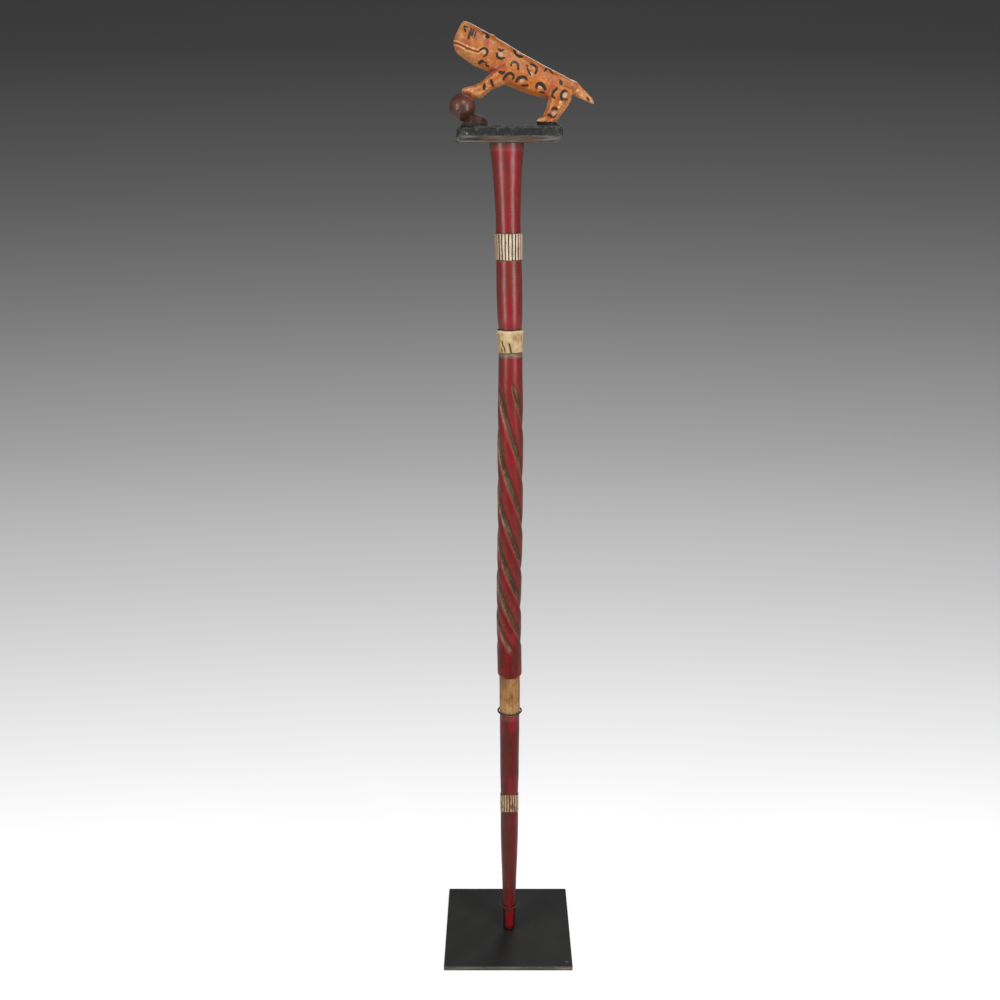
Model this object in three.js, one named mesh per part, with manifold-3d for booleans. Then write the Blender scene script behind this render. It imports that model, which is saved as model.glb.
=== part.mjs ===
// A linguist staff on its display stand: a carved and painted wooden staff in two lengths, with a finial of
// a leopard that rests its fore paws on a ball. Two wire rings on a rod behind the staff hold it upright
// over a square steel plate. Millimetres, +Z up, and the front, with the leopard's head to the left, faces
// -Y. The origin is the middle of the plate's underside.
import * as THREE from "three";
import { mergeVertices } from "three/addons/utils/BufferGeometryUtils.js";
import Module from "manifold-3d";

const wasm = await Module();
wasm.setup();

// Stand
const plateSide = 254;
const plateThickness = 9.5;
const plateBevel = 0.8;
const rodDiameter = 9.5;
const rodAboveRing = 4;
const wireDiameter = 3.2;
const upperRingHeight = 495; // above the plate
const upperRingPlay = 1; // between the shaft and the wire, all round
const lowerRingHeight = 58;
const lowerRingPlay = 4.2;
const contactGap = 0.3; // left between pieces that only touch

// Where the staff stands on the plate, and how far its upper length leans to the left
const staffX = 2.5;
const staffY = -8;
const upperLean = 7.4;
const bow = 2; // of the lower length to the left, at its most
const bowHeight = 710; // where it is most, above the plate
const bowReach = 170; // to either side of that height

// Lower shaft, from the foot up: the length of each stretch, and the diameters along it
const tipLength = 278;
const tipFootDiameter = 24;
const tipTopDiameter = 35.2;
const tipFootRound = 2.5;
const lowBandLength = 38.5;
const lowBandDiameter = 36.8;
const lowBandRibs = 20;
const lowBarrelLength = 174.5;
const lowBarrelWaistDiameter = 34.3;
const lowBarrelMidDiameter = 36.8;
const lowBarrelDiameter = 38.2;
const midBandLength = 79;
const midBandDiameter = 39.6;
const twistLength = 625;
const twistDiameter = 46.8;
const twistTopDiameter = 42.8;
const shoulderHeight = 8; // of the rounded step from the plain band up to the twist
const twistTaperLength = 160; // over which the twist narrows to the seam

// The flutes of the twist. Going down, each one turns to the right across the front.
const fluteCount = 4;
const fluteDepth = 4.5;
const fluteFadeLength = 45;
const fluteFoot = 34; // from the twist's foot to where the flutes begin to sink
const fluteTop = 577; // from the twist's foot to where they have faded out
const firstFlute = 65.4; // from the twist's foot to where a flute first crosses the front
const fluteSpacing = 68; // from that crossing to the next one up
const fluteGrowth = 7.5; // what each further spacing gains
const twistRingPitch = 20;

// Upper shaft, from the seam up
const highBandLength = 40.5;
const highBandFootDiameter = 44.2;
const highBandDiameter = 47.6;
const highBarrelLength = 120.5;
const highBarrelWaistDiameter = 40;
const highBarrelDiameter = 45.3;
const highBarrelTopDiameter = 44;
const topBandLength = 45.5;
const topBandDiameter = 47.2; // at its foot
const topBandFlare = 2.4; // what its top has over its foot
const topBandRibs = 24;
const neckLength = 148.4;
const neckWaistDiameter = 42.6;
const neckMiddleDiameter = 46.4;
const neckTopDiameter = 60;
const seamOpening = 1.6; // of the wedge that is open at the seam's right side
const ribDepth = 1.5;
const bandEdge = 0.5; // of the small round where a plain band meets its neighbours

// Plaque under the leopard
const plaqueLength = 180;
const plaqueDepth = 98;
const plaqueThickness = 27.5;
const plaqueBevelHeight = 10;
const plaqueBevelInset = 9; // at the front and the back
const plaqueBevelEndInset = 2;
const plaqueBevelShift = 4; // of the underside's middle to the left
const plaqueEdgeRound = 3;
const plaqueOffset = 4.8; // from the middle of the shaft's top to the plaque's middle

// The leopard keeps its proportions: its tables are in hundredths of its length, nose to tail tip
const leopardLength = 232.6;
const backSlope = 27.5; // degrees from the horizontal, up towards the head
const hindFootX = 56.1; // from the plaque's middle
const farLegShift = 4; // how far the far hind foot stands behind the near one
const ballDiameter = 45;
const ballX = -81.3; // from the plaque's middle
const ballSeat = 11.5; // from the plaque up to the ball's lowest point
const rockHeight = 21.5; // of the rough seat beside the ball, above the plaque
const padHeight = 5.5; // of the uncut wood that the hind feet stand on, above the plaque
const padX = 64; // from the plaque's middle
const padLength = 40;
const padDepth = 62;

const shaftSides = 24;
const ringSides = 28;
const wireSides = 8;

const { degToRad, lerp, smoothstep } = THREE.MathUtils;

// Heights above the plate, added up from the stretches
const lowBandFoot = tipLength;
const lowBarrelFoot = lowBandFoot + lowBandLength;
const midBandFoot = lowBarrelFoot + lowBarrelLength;
const twistFoot = midBandFoot + midBandLength;
const seamHeight = twistFoot + twistLength;
const highBarrelFoot = seamHeight + highBandLength;
const topBandFoot = highBarrelFoot + highBarrelLength;
const neckFoot = topBandFoot + topBandLength;
const staffTop = neckFoot + neckLength;

// A closed solid of `sides` round and one ring of vertices for each station. place(station, angle, rim,
// index) gives the vertex at an angle of a ring, where rim is 1 on the side and 0 in the middle of an end.
function ringedSolid(sides, stations, place) {
  const steps = stations.length - 1;
  const geometry = new THREE.CylinderGeometry(1, 1, 1, sides, steps);
  geometry.rotateX(Math.PI / 2);
  const position = geometry.getAttribute("position");
  for (let i = 0; i < position.count; i++) {
    const x = position.getX(i);
    const y = position.getY(i);
    const station = stations[Math.round((position.getZ(i) + 0.5) * steps)];
    const index = Math.round((Math.atan2(y, x) / (2 * Math.PI) + 1) * sides) % sides;
    const point = place(station, (index / sides) * 2 * Math.PI, Math.round(Math.hypot(x, y)), index);
    position.setXYZ(i, point.x, point.y, point.z);
  }
  return geometry;
}

// A three.js geometry as a solid for joining and cutting
function solidOf(geometry) {
  const bare = new THREE.BufferGeometry().setAttribute("position", geometry.getAttribute("position"));
  bare.setIndex(geometry.index);
  const merged = mergeVertices(bare, 1e-3);
  return new wasm.Manifold(
    new wasm.Mesh({
      numProp: 3,
      vertProperties: merged.getAttribute("position").array,
      triVerts: new Uint32Array(merged.index.array),
    }),
  );
}

function geometryOf(solid) {
  const mesh = solid.getMesh();
  const geometry = new THREE.BufferGeometry();
  geometry.setAttribute("position", new THREE.BufferAttribute(new Float32Array(mesh.vertProperties), 3));
  geometry.setIndex(new THREE.BufferAttribute(new Uint32Array(mesh.triVerts), 1));
  geometry.computeVertexNormals();
  return geometry;
}

function joined(geometries) {
  return geometries.map(solidOf).reduce((whole, piece) => whole.add(piece));
}

function finish(color, roughness, metalness = 0) {
  return new THREE.MeshStandardMaterial({ color, roughness, metalness });
}

function named(name, geometry, material) {
  const mesh = new THREE.Mesh(geometry, material);
  mesh.name = name;
  return mesh;
}

// Stations of a smooth turned profile through [height, diameter] pairs
function profile(pairs, steps) {
  const points = pairs.map(([height, diameter]) => new THREE.Vector2(height, diameter / 2));
  const curve = new THREE.SplineCurve(points);
  return curve.getPoints(steps).map((point) => ({ height: point.x, radius: point.y, flute: 0 }));
}

// How many flutes have crossed the front between the first crossing and a height, fractions included
function flutesPassed(height) {
  const rise = height - twistFoot - firstFlute;
  const linear = fluteSpacing - fluteGrowth / 2;
  return (Math.sqrt(linear ** 2 + 2 * fluteGrowth * rise) - linear) / fluteGrowth;
}

function fluteStrength(height) {
  const rise = height - twistFoot;
  const start = smoothstep(rise, fluteFoot, fluteFoot + fluteFadeLength);
  return start * (1 - smoothstep(rise, fluteTop - fluteFadeLength, fluteTop));
}

// The turn of a flute at a height, measured from the front, and the section from one flute to the next:
// at each angle, the share of the flute's depth that is cut away
const fluteTurn = (height) => (-2 * Math.PI * flutesPassed(height)) / fluteCount;
const fluteSection = [
  { angle: 0, share: 1 },
  { angle: 12, share: 0.56 },
  { angle: 27, share: 0.16 },
  { angle: 45, share: 0 },
  { angle: 63, share: 0.16 },
  { angle: 78, share: 0.56 },
];

function twistStations() {
  const rings = Math.round(twistLength / twistRingPitch);
  const shoulder = [
    [0, 0.15],
    [0.3, 0.7],
    [1, 1],
  ];
  const stations = shoulder.map(([rise, share]) => ({
    height: twistFoot + rise * shoulderHeight,
    radius: lerp(midBandDiameter, twistDiameter, share) / 2,
    flute: 0,
  }));
  for (let ring = 1; ring <= rings; ring++) {
    const height = lerp(twistFoot + shoulderHeight, seamHeight, ring / rings);
    const narrowing = smoothstep(height, seamHeight - twistTaperLength, seamHeight);
    const radius = lerp(twistDiameter, twistTopDiameter, narrowing) / 2;
    stations.push({ height, radius, flute: fluteStrength(height) * fluteDepth });
  }
  return stations;
}

// How far the middle of the lower length stands to the left of a straight line
function bowAt(height) {
  const away = Math.min(Math.abs(height - bowHeight) / bowReach, 1);
  return -bow * smoothstep(1 - away, 0, 1);
}

// The lower shaft's vertices run along the flutes, so each flute keeps a clean edge. Every other stretch
// shares their spacing, turned to the twist's foot.
function lowerShaftPoint(station, angle, rim, index) {
  const slots = fluteSection.length;
  const slot = index % slots;
  const section = fluteSection[slot];
  const turn = fluteTurn(Math.max(station.height, twistFoot));
  const start = ((index - slot) / slots) * ((2 * Math.PI) / fluteCount);
  const round = start + degToRad(section.angle) + turn - Math.PI / 2;
  const radius = (station.radius - station.flute * section.share) * rim;
  const x = bowAt(station.height) + Math.cos(round) * radius;
  return new THREE.Vector3(x, Math.sin(round) * radius, station.height);
}

// A band of ribs round a shaft, with a narrow groove between each rib and the next
function ribbedBand(foot, length, diameter, flare, ribs, centreAt) {
  const stations = [
    { height: foot, across: diameter },
    { height: foot + length, across: diameter + flare },
  ];
  return ringedSolid(ribs * 3, stations, ({ height, across }, angle, rim, index) => {
    const radius = (across / 2 - (index % 3 === 0 ? ribDepth : 0)) * rim;
    return new THREE.Vector3(centreAt(height) + Math.cos(angle) * radius, Math.sin(angle) * radius, height);
  });
}

// The tip's diameter at a share of its length
function tipDiameterAt(share) {
  return lerp(tipFootDiameter, tipTopDiameter, smoothstep(share, 0, 0.93));
}

function lowerShaft() {
  const tip = [];
  for (const share of [0, 0.02, 0.1, 0.22, 0.34, 0.46, 0.58, 0.7, 0.82, 1]) {
    const footRound = share === 0 ? tipFootRound : 0;
    tip.push({ height: share * tipLength, radius: tipDiameterAt(share) / 2 - footRound, flute: 0 });
  }
  const barrel = profile(
    [
      [lowBarrelFoot, lowBarrelWaistDiameter],
      [lowBarrelFoot + 12, lowBarrelWaistDiameter + 0.6],
      [lowBarrelFoot + 34, lowBarrelMidDiameter - 0.6],
      [lowBarrelFoot + lowBarrelLength / 2, lowBarrelMidDiameter + 0.4],
      [midBandFoot, lowBarrelDiameter],
    ],
    7,
  );
  const midBand = [{ height: midBandFoot + bandEdge, radius: midBandDiameter / 2, flute: 0 }];
  midBand.push({ height: twistFoot - bandEdge, radius: midBandDiameter / 2, flute: 0 });
  const stations = [...tip, ...barrel, ...midBand, ...twistStations()];
  const shaft = ringedSolid(shaftSides, stations, lowerShaftPoint);
  const band = ribbedBand(lowBandFoot, lowBandLength, lowBandDiameter, 0, lowBandRibs, bowAt);
  return geometryOf(joined([shaft, band]));
}

// The upper shaft's middle drifts to the left as it rises, and its foot is cut a little out of square
function upperShaft() {
  const driftAt = (height) => -upperLean * ((height - seamHeight) / (staffTop - seamHeight));
  const band = [
    { height: seamHeight, radius: highBandFootDiameter / 2 },
    { height: seamHeight + highBandLength * 0.4, radius: highBandFootDiameter / 2 + 0.5 },
    { height: highBarrelFoot - 2 * bandEdge, radius: highBandDiameter / 2 },
    { height: highBarrelFoot, radius: highBandDiameter / 2 - bandEdge },
  ];
  const barrel = profile(
    [
      [highBarrelFoot + bandEdge, highBarrelWaistDiameter],
      [highBarrelFoot + 12, highBarrelWaistDiameter + 3],
      [highBarrelFoot + 40, highBarrelDiameter - 0.4],
      [highBarrelFoot + 85, highBarrelDiameter],
      [topBandFoot, highBarrelTopDiameter],
    ],
    8,
  );
  const neck = profile(
    [
      [neckFoot, neckWaistDiameter + 0.8],
      [neckFoot + 0.12 * neckLength, neckWaistDiameter],
      [neckFoot + 0.45 * neckLength, neckMiddleDiameter],
      [neckFoot + 0.75 * neckLength, lerp(neckMiddleDiameter, neckTopDiameter, 0.4)],
      [staffTop, neckTopDiameter],
    ],
    10,
  );
  const shaft = ringedSolid(shaftSides, [...band, ...barrel, ...neck], (station, angle, rim) => {
    const radius = station.radius * rim;
    const across = Math.cos(angle) * radius;
    const wedge = station.height === seamHeight ? seamOpening * (0.5 + across / highBandFootDiameter) : 0;
    const x = driftAt(station.height) + across;
    return new THREE.Vector3(x, Math.sin(angle) * radius, station.height + contactGap + wedge);
  });
  const bandFoot = topBandFoot + contactGap;
  const ribs = ribbedBand(bandFoot, topBandLength, topBandDiameter, topBandFlare, topBandRibs, driftAt);
  return geometryOf(joined([shaft, ribs]));
}

// A wire ring round the staff, with its back against the rod
function wireRing(innerDiameter) {
  return new THREE.TorusGeometry((innerDiameter + wireDiameter) / 2, wireDiameter / 2, wireSides, ringSides);
}

function plate() {
  const side = plateSide - 2 * plateBevel;
  const outline = new THREE.Shape();
  outline.moveTo(-side / 2, -side / 2);
  outline.lineTo(side / 2, -side / 2);
  outline.lineTo(side / 2, side / 2);
  outline.lineTo(-side / 2, side / 2);
  outline.closePath();
  const geometry = new THREE.ExtrudeGeometry(outline, {
    depth: plateThickness - 2 * plateBevel,
    bevelThickness: plateBevel,
    bevelSize: plateBevel,
    bevelSegments: 1,
  });
  return geometry.translate(0, 0, plateBevel);
}

// A point of a superellipse: exponent 2 is an ellipse, and more is squarer
function superellipse(angle, exponent) {
  const bent = (value) => (Math.abs(value) < 1e-9 ? 0 : Math.sign(value) * Math.abs(value) ** (2 / exponent));
  return [bent(Math.cos(angle)), bent(Math.sin(angle))];
}

// A limb or trunk lofted through stations [x, z, half thickness in the XZ plane, half width in Y], with its
// middle at y, in the leopard's hundredths. Its sections are square to its path, or to a fixed direction.
function loft(stations, sides, exponent, y = () => 0, direction = null) {
  const unit = leopardLength / 100;
  const middles = stations.map(([x, z], i) => new THREE.Vector3(x, y(i / (stations.length - 1)), z));
  const sections = stations.map(([, , thick, wide], i) => {
    const before = middles[Math.max(i - 1, 0)];
    const after = middles[Math.min(i + 1, middles.length - 1)];
    const ahead = direction || new THREE.Vector3(after.x - before.x, 0, after.z - before.z).normalize();
    const side = new THREE.Vector3(0, -1, 0);
    return { middle: middles[i], up: ahead.clone().cross(side), side, thick, wide };
  });
  const geometry = ringedSolid(sides, sections, (section, angle, rim) => {
    const [across, up] = superellipse(angle, exponent);
    const point = section.middle.clone();
    point.addScaledVector(section.side, across * section.wide * rim);
    return point.addScaledVector(section.up, up * section.thick * rim);
  });
  return geometry.scale(unit, unit, unit);
}

// The trunk and head in one straight block along the back, from the rump to the muzzle: how far along
// from the hind foot, the middle's height over the slope through that foot, and the half sizes
const trunkStations = [
  [-10, 30.6, 3.6, 5],
  [-7, 28.8, 6.4, 8.2],
  [0, 27.3, 8.3, 10.6],
  [6, 25.2, 10.1, 11.4],
  [17, 23.6, 11.5, 11.9],
  [27, 23, 12.1, 12.2],
  [34.5, 22.5, 12.5, 12.3],
  [42, 22.9, 12.4, 11.7],
  [48.5, 23.9, 11.6, 10.6],
  [53, 23.8, 11.9, 11.1],
  [55.5, 23.7, 12.1, 11.9],
  [62, 23.5, 12.4, 12],
  [69, 23.7, 12.1, 11.6],
  [76, 24.2, 11.5, 10.9],
  [79, 24.9, 10.7, 10.1],
  [81.2, 26, 9, 9],
  [82.5, 27, 6.9, 7.4],
];

function trunk(shrink = 0) {
  const slope = degToRad(backSlope);
  const stations = trunkStations.map(([along, over, thick, wide]) => [
    over * Math.sin(slope) - along * Math.cos(slope),
    over * Math.cos(slope) + along * Math.sin(slope),
    thick - shrink,
    wide - shrink,
  ]);
  return loft(stations, 22, 2.5, () => 0, new THREE.Vector3(-Math.cos(slope), 0, Math.sin(slope)));
}

// A small part on the head, given along and over the slope like the trunk's stations
function onSlope(geometry, along, over, y) {
  const slope = degToRad(backSlope);
  const unit = leopardLength / 100;
  geometry.rotateY(slope);
  const x = over * Math.sin(slope) - along * Math.cos(slope);
  const z = over * Math.cos(slope) + along * Math.sin(slope);
  return geometry.translate(x, y, z).scale(unit, unit, unit);
}

function knob(thickX, thickY, thickZ) {
  return new THREE.SphereGeometry(1, 10, 6).scale(thickX, thickY, thickZ);
}

// The mouth is a slit round the muzzle, as deep as the trunk's skin that it cuts
function mouth() {
  const slit = onSlope(new THREE.BoxGeometry(18, 40, 1.1), 72.5, 18.2, 0);
  return solidOf(slit).subtract(solidOf(trunk(1.9)));
}

function foreLeg(side) {
  const stations = [
    [-24, 35, 7, 4.8],
    [-32.5, 30.2, 5.9, 4.5],
    [-38.5, 26.7, 4.5, 4.1],
    [-42.7, 23.7, 4.2, 3.9],
    [-46.8, 21, 5.3, 4.1],
    [-50, 21.3, 3.9, 4.3],
    [-53.5, 22.2, 2.2, 4],
    [-57.4, 22.3, 1.2, 3],
    [-59.4, 22.1, 0.5, 1.6],
  ];
  return loft(stations, 14, 2.3, (share) => side * lerp(6.8, 4.6, Math.min(share * 1.6, 1)));
}

function hindLeg(side) {
  const shift = side > 0 ? farLegShift / (leopardLength / 100) : 0;
  const leg = [
    [13.5, 24, 8, 4],
    [11.6, 18, 8.2, 5],
    [9.2, 12.2, 6.7, 4.6],
    [6.6, 7.2, 5.3, 4.1],
    [4.4, 3.6, 5, 3.9],
    [3.6, 0, 4.4, 3.8],
  ];
  const foot = [
    [7.4, 1.6, 1.6, 3],
    [4, 1.9, 2.4, 3.9],
    [0, 1.6, 2.3, 4.1],
    [-3.4, 1, 1.5, 3.6],
    [-5, 0.6, 0.8, 2.4],
  ];
  return [leg, foot].map((stations) => {
    const placed = stations.map(([x, z, thick, wide], i) => [x + (i > 0 ? shift : 0), z, thick, wide]);
    return loft(placed, 14, 2.3, () => side * 7.2);
  });
}

function tail() {
  const stations = [
    [15, 26.5, 4.5, 4.5],
    [21.5, 24, 4.9, 4.2],
    [28, 19.4, 3.5, 3.2],
    [33.6, 15.9, 2.2, 2.2],
    [36.9, 12.8, 0.9, 1],
  ];
  return loft(stations, 12, 2.2);
}

function leopard() {
  const solids = [trunk(), tail()];
  for (const side of [-1, 1]) {
    solids.push(foreLeg(side), ...hindLeg(side));
    solids.push(onSlope(knob(2, 1.3, 1.1), 59, 35, side * 6.2));
    solids.push(onSlope(knob(1.7, 0.9, 1.1), 63.6, 31.6, side * 10.3));
  }
  return joined(solids).subtract(mouth());
}

// The plaque: a slab with rounded corners whose underside is bevelled inwards
function plaque() {
  const stations = [
    { z: 0, inset: plaqueBevelInset, endInset: plaqueBevelEndInset, shift: -plaqueBevelShift },
    { z: plaqueBevelHeight, inset: 0, endInset: 0, shift: 0 },
    { z: plaqueThickness - plaqueEdgeRound, inset: 0.8, endInset: 0.8, shift: 0 },
    { z: plaqueThickness, inset: 0.8 + plaqueEdgeRound, endInset: 0.8 + plaqueEdgeRound, shift: 0 },
  ];
  return ringedSolid(40, stations, ({ z, inset, endInset, shift }, angle, rim) => {
    const [across, deep] = superellipse(angle, 9);
    const x = shift + across * (plaqueLength / 2 - endInset) * rim;
    return new THREE.Vector3(x, deep * (plaqueDepth / 2 - inset) * rim, z);
  });
}

// The rough seat that the ball is carved on, highest to the ball's right
function rock() {
  const top = plaqueThickness + rockHeight;
  const stations = [
    { z: plaqueThickness - 3, left: -5, right: 45, deep: 22 },
    { z: plaqueThickness + 4, left: -3, right: 43.5, deep: 20 },
    { z: top - 4, left: 8, right: 42, deep: 15 },
    { z: top, left: 16, right: 37, deep: 10 },
  ];
  return ringedSolid(14, stations, ({ z, left, right, deep }, angle, rim) => {
    const [x, y] = superellipse(angle, 2.6);
    const middle = (left + right) / 2;
    return new THREE.Vector3(ballX + middle + (x * rim * (right - left)) / 2, y * rim * deep, z);
  });
}

// The low pad of uncut wood under the hind feet
function pad() {
  const stations = [
    { z: plaqueThickness - 3, inset: 0 },
    { z: plaqueThickness + padHeight / 2, inset: 1.5 },
    { z: plaqueThickness + padHeight, inset: 4 },
  ];
  return ringedSolid(16, stations, ({ z, inset }, angle, rim) => {
    const [x, y] = superellipse(angle, 3);
    return new THREE.Vector3(padX + x * rim * (padLength / 2 - inset), y * rim * (padDepth / 2 - inset), z);
  });
}

function finial() {
  const ballRise = plaqueThickness + ballSeat + ballDiameter / 2;
  const ball = new THREE.SphereGeometry(ballDiameter / 2, 22, 14);
  ball.rotateX(Math.PI / 2).translate(ballX, 0, ballRise);
  const animal = geometryOf(leopard()).translate(hindFootX, 0, plaqueThickness + padHeight);
  return geometryOf(joined([plaque(), rock(), pad(), ball, animal]));
}

const redPaint = finish(0x8c3a36, 0.4);
const blackPaint = finish(0x242424, 0.6, 0.3);
const ochrePaint = finish(0xb9713a, 0.45);

// The rod stands behind the upper ring, and the lower ring hangs back to reach it
const shaftAtUpperRing = midBandDiameter;
const shaftAtLowerRing = tipDiameterAt(lowerRingHeight / tipLength);
const upperRingInner = shaftAtUpperRing + 2 * upperRingPlay;
const lowerRingInner = shaftAtLowerRing + 2 * lowerRingPlay;
const rodFront = staffY + upperRingInner / 2 + wireDiameter + contactGap;
const lowerRingY = rodFront - contactGap - wireDiameter - lowerRingInner / 2;
const rodLength = upperRingHeight + rodAboveRing - contactGap;

const staff = new THREE.Group();

const stand = new THREE.Group();
stand.add(named("stand_plate", plate(), blackPaint));
staff.add(stand);

const onPlate = new THREE.Group();
onPlate.position.z = plateThickness;
staff.add(onPlate);

const rod = named(
  "stand_rod",
  new THREE.CylinderGeometry(rodDiameter / 2, rodDiameter / 2, rodLength, 16).rotateX(Math.PI / 2),
  blackPaint.clone(),
);
rod.position.set(staffX, rodFront + rodDiameter / 2, contactGap + rodLength / 2);
onPlate.add(rod);

const upperRing = named("upper_ring", wireRing(upperRingInner), blackPaint.clone());
upperRing.position.set(staffX, staffY, upperRingHeight);
onPlate.add(upperRing);

const lowerRing = named("lower_ring", wireRing(lowerRingInner), blackPaint.clone());
lowerRing.position.set(staffX, lowerRingY, lowerRingHeight);
onPlate.add(lowerRing);

const shafts = new THREE.Group();
shafts.position.set(staffX, staffY, 0);
shafts.add(named("lower_shaft", lowerShaft(), redPaint));
shafts.add(named("upper_shaft", upperShaft(), redPaint.clone()));
onPlate.add(shafts);

const top = named("finial", finial(), ochrePaint);
top.position.set(plaqueOffset - upperLean, 0, staffTop + 2 * contactGap);
shafts.add(top);

export default staff;
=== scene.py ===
import math
import random

import bmesh
import bpy
import numpy as np
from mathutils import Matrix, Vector, noise
from mathutils.bvhtree import BVHTree
from mathutils.kdtree import KDTree


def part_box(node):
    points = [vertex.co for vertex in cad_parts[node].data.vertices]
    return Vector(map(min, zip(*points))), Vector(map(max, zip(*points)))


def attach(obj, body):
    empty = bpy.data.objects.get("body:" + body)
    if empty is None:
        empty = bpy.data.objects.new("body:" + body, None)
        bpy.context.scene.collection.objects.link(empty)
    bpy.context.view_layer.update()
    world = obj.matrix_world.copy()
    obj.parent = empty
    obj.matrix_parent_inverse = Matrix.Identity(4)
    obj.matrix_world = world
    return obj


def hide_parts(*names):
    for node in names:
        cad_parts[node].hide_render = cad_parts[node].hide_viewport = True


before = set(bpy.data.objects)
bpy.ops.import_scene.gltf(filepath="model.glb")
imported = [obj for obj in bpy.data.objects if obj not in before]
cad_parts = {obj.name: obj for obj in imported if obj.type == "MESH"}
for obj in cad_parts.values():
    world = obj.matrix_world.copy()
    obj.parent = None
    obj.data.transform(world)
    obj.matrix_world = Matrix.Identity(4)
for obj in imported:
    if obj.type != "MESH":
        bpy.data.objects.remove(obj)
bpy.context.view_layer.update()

# Lengths in the dictionaries are millimetres, as the object was measured, and heights are above the plate.
mm = 0.001


# A shader socket that sums, products and the like can be written with
class Socket:
    def __init__(self, finish, output):
        self.finish = finish
        self.output = output

    def math(self, operation, *values):
        return self.finish.node("Math", {"operation": operation}, dict(enumerate(values)))

    __add__ = __radd__ = lambda self, other: self.math("ADD", self, other)
    __mul__ = __rmul__ = lambda self, other: self.math("MULTIPLY", self, other)
    __sub__ = lambda self, other: self.math("SUBTRACT", self, other)
    __rsub__ = lambda self, other: self.math("SUBTRACT", other, self)
    __truediv__ = lambda self, other: self.math("DIVIDE", self, other)
    __rtruediv__ = lambda self, other: self.math("DIVIDE", other, self)
    __pow__ = lambda self, other: self.math("POWER", self, other)
    __abs__ = lambda self: self.math("ABSOLUTE", self)
    most = lambda self, other: self.math("MAXIMUM", self, other)
    least = lambda self, other: self.math("MINIMUM", self, other)

    def rise(self, low, high):  # 0 below low and 1 above high, smooth between; low may be the larger
        inputs = {"Value": self, "From Min": low, "From Max": high}
        return self.finish.node("MapRange", {"interpolation_type": "SMOOTHSTEP"}, inputs)


# One material: its nodes are added by node(), and the shader's own sockets are set by shade()
class Finish:
    def __init__(self, name):
        self.material = bpy.data.materials.new(name)
        self.material.use_nodes = True
        self.tree = self.material.node_tree
        self.shader = self.tree.nodes["Principled BSDF"]

    def node(self, kind, settings, inputs, output=0):
        added = self.tree.nodes.new("ShaderNode" + kind)
        for name, value in settings.items():
            if name == "stops":
                self.setStops(added.color_ramp, value)
            else:
                setattr(added, name, value)
        for name, value in inputs.items():
            self.feed(added.inputs[name], value)
        return Socket(self, added.outputs[output])

    def setStops(self, ramp, stops):
        for place, colour in stops[1:-1]:
            ramp.elements.new(place)
        for element, (place, colour) in zip(ramp.elements, stops):
            element.position = place
            element.color = (*colour, 1)

    def feed(self, target, value):
        if isinstance(value, Socket):
            self.tree.links.new(value.output, target)
        elif isinstance(value, tuple) and len(value) == 3 and target.type == "RGBA":
            target.default_value = (*value, 1)
        else:
            target.default_value = value

    def place(self, stretch=(1, 1, 1), shift=(0, 0, 0)):
        here = self.node("TexCoord", {}, {}, "Object")
        return self.node("Mapping", {}, {"Vector": here, "Scale": stretch, "Location": shift})

    def axes(self):  # a point's three coordinates, in metres
        split = self.node("SeparateXYZ", {}, {0: self.place()})
        return [Socket(self, output) for output in split.output.node.outputs]

    def stored(self, name):
        return self.node("Attribute", {"attribute_name": name}, {}, "Fac")

    def grain(self, size, detail=3, roughness=0.55, stretch=(1, 1, 1), shift=(0, 0, 0), warp=0):
        inputs = {"Vector": self.place(stretch, shift), "Scale": 1 / (size * mm), "Detail": detail}
        return self.node("TexNoise", {}, {**inputs, "Roughness": roughness, "Distortion": warp})

    def blend(self, share, first, second):
        return self.node("Mix", {"data_type": "RGBA"}, {0: share, 6: first, 7: second}, 2)

    def coats(self, colour, *layers):  # each layer is how much of it there is, and its colour
        for share, tint in layers:
            colour = self.blend(share, colour, tint)
        return colour

    def dents(self, height, depth, under=None):  # height in 0 to 1, depth in millimetres
        inputs = {"Height": height, "Distance": depth * mm, "Strength": 1.0}
        return self.node("Bump", {}, {**inputs, **({"Normal": under} if under else {})})

    def shade(self, **sockets):
        for name, value in sockets.items():
            self.feed(self.shader.inputs[name.replace("_", " ")], value)
        return self.material


def modeOf(name):
    bpy.ops.object.mode_set(mode=name)


def startClean():
    bpy.ops.object.select_all(action="DESELECT")


def applyPlace():
    bpy.ops.object.transform_apply(location=True, rotation=True, scale=True)


def pickOnly(piece):
    startClean()
    piece.select_set(True)
    bpy.context.view_layer.objects.active = piece


# Selects the parts of the piece in edit mode for which the test on a vertex, edge or face holds
def choose(kind, test):
    piece = bpy.context.object
    modes = {"verts": "VERT", "edges": "EDGE", "faces": "FACE"}
    bpy.ops.mesh.select_mode(type=modes[kind])
    bpy.ops.mesh.select_all(action="DESELECT")
    shape = bmesh.from_edit_mesh(piece.data)
    for part in filter(test, getattr(shape, kind)):
        part.select_set(True)
    shape.select_flush_mode()
    bmesh.update_edit_mesh(piece.data)


def useModifier(piece, kind, settings):
    pickOnly(piece)
    added = piece.modifiers.new(kind.title(), kind)
    for name, value in settings.items():
        setattr(added, name, value)
    bpy.ops.object.modifier_apply(modifier=added.name)


# A finished piece has its place in its mesh, one finish, and rides on the staff's only body
def handOver(piece, name, material, slot, *nodes, smoothAngle=None):
    pickOnly(piece)
    applyPlace()
    if smoothAngle is None:
        bpy.ops.object.shade_smooth()
    else:
        bpy.ops.object.shade_smooth_by_angle(angle=math.radians(smoothAngle))
    piece.name = name
    piece.data.name = name
    piece.data.materials.clear()
    piece.data.materials.append(material)
    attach(piece, "root")
    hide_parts(*nodes)


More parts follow.
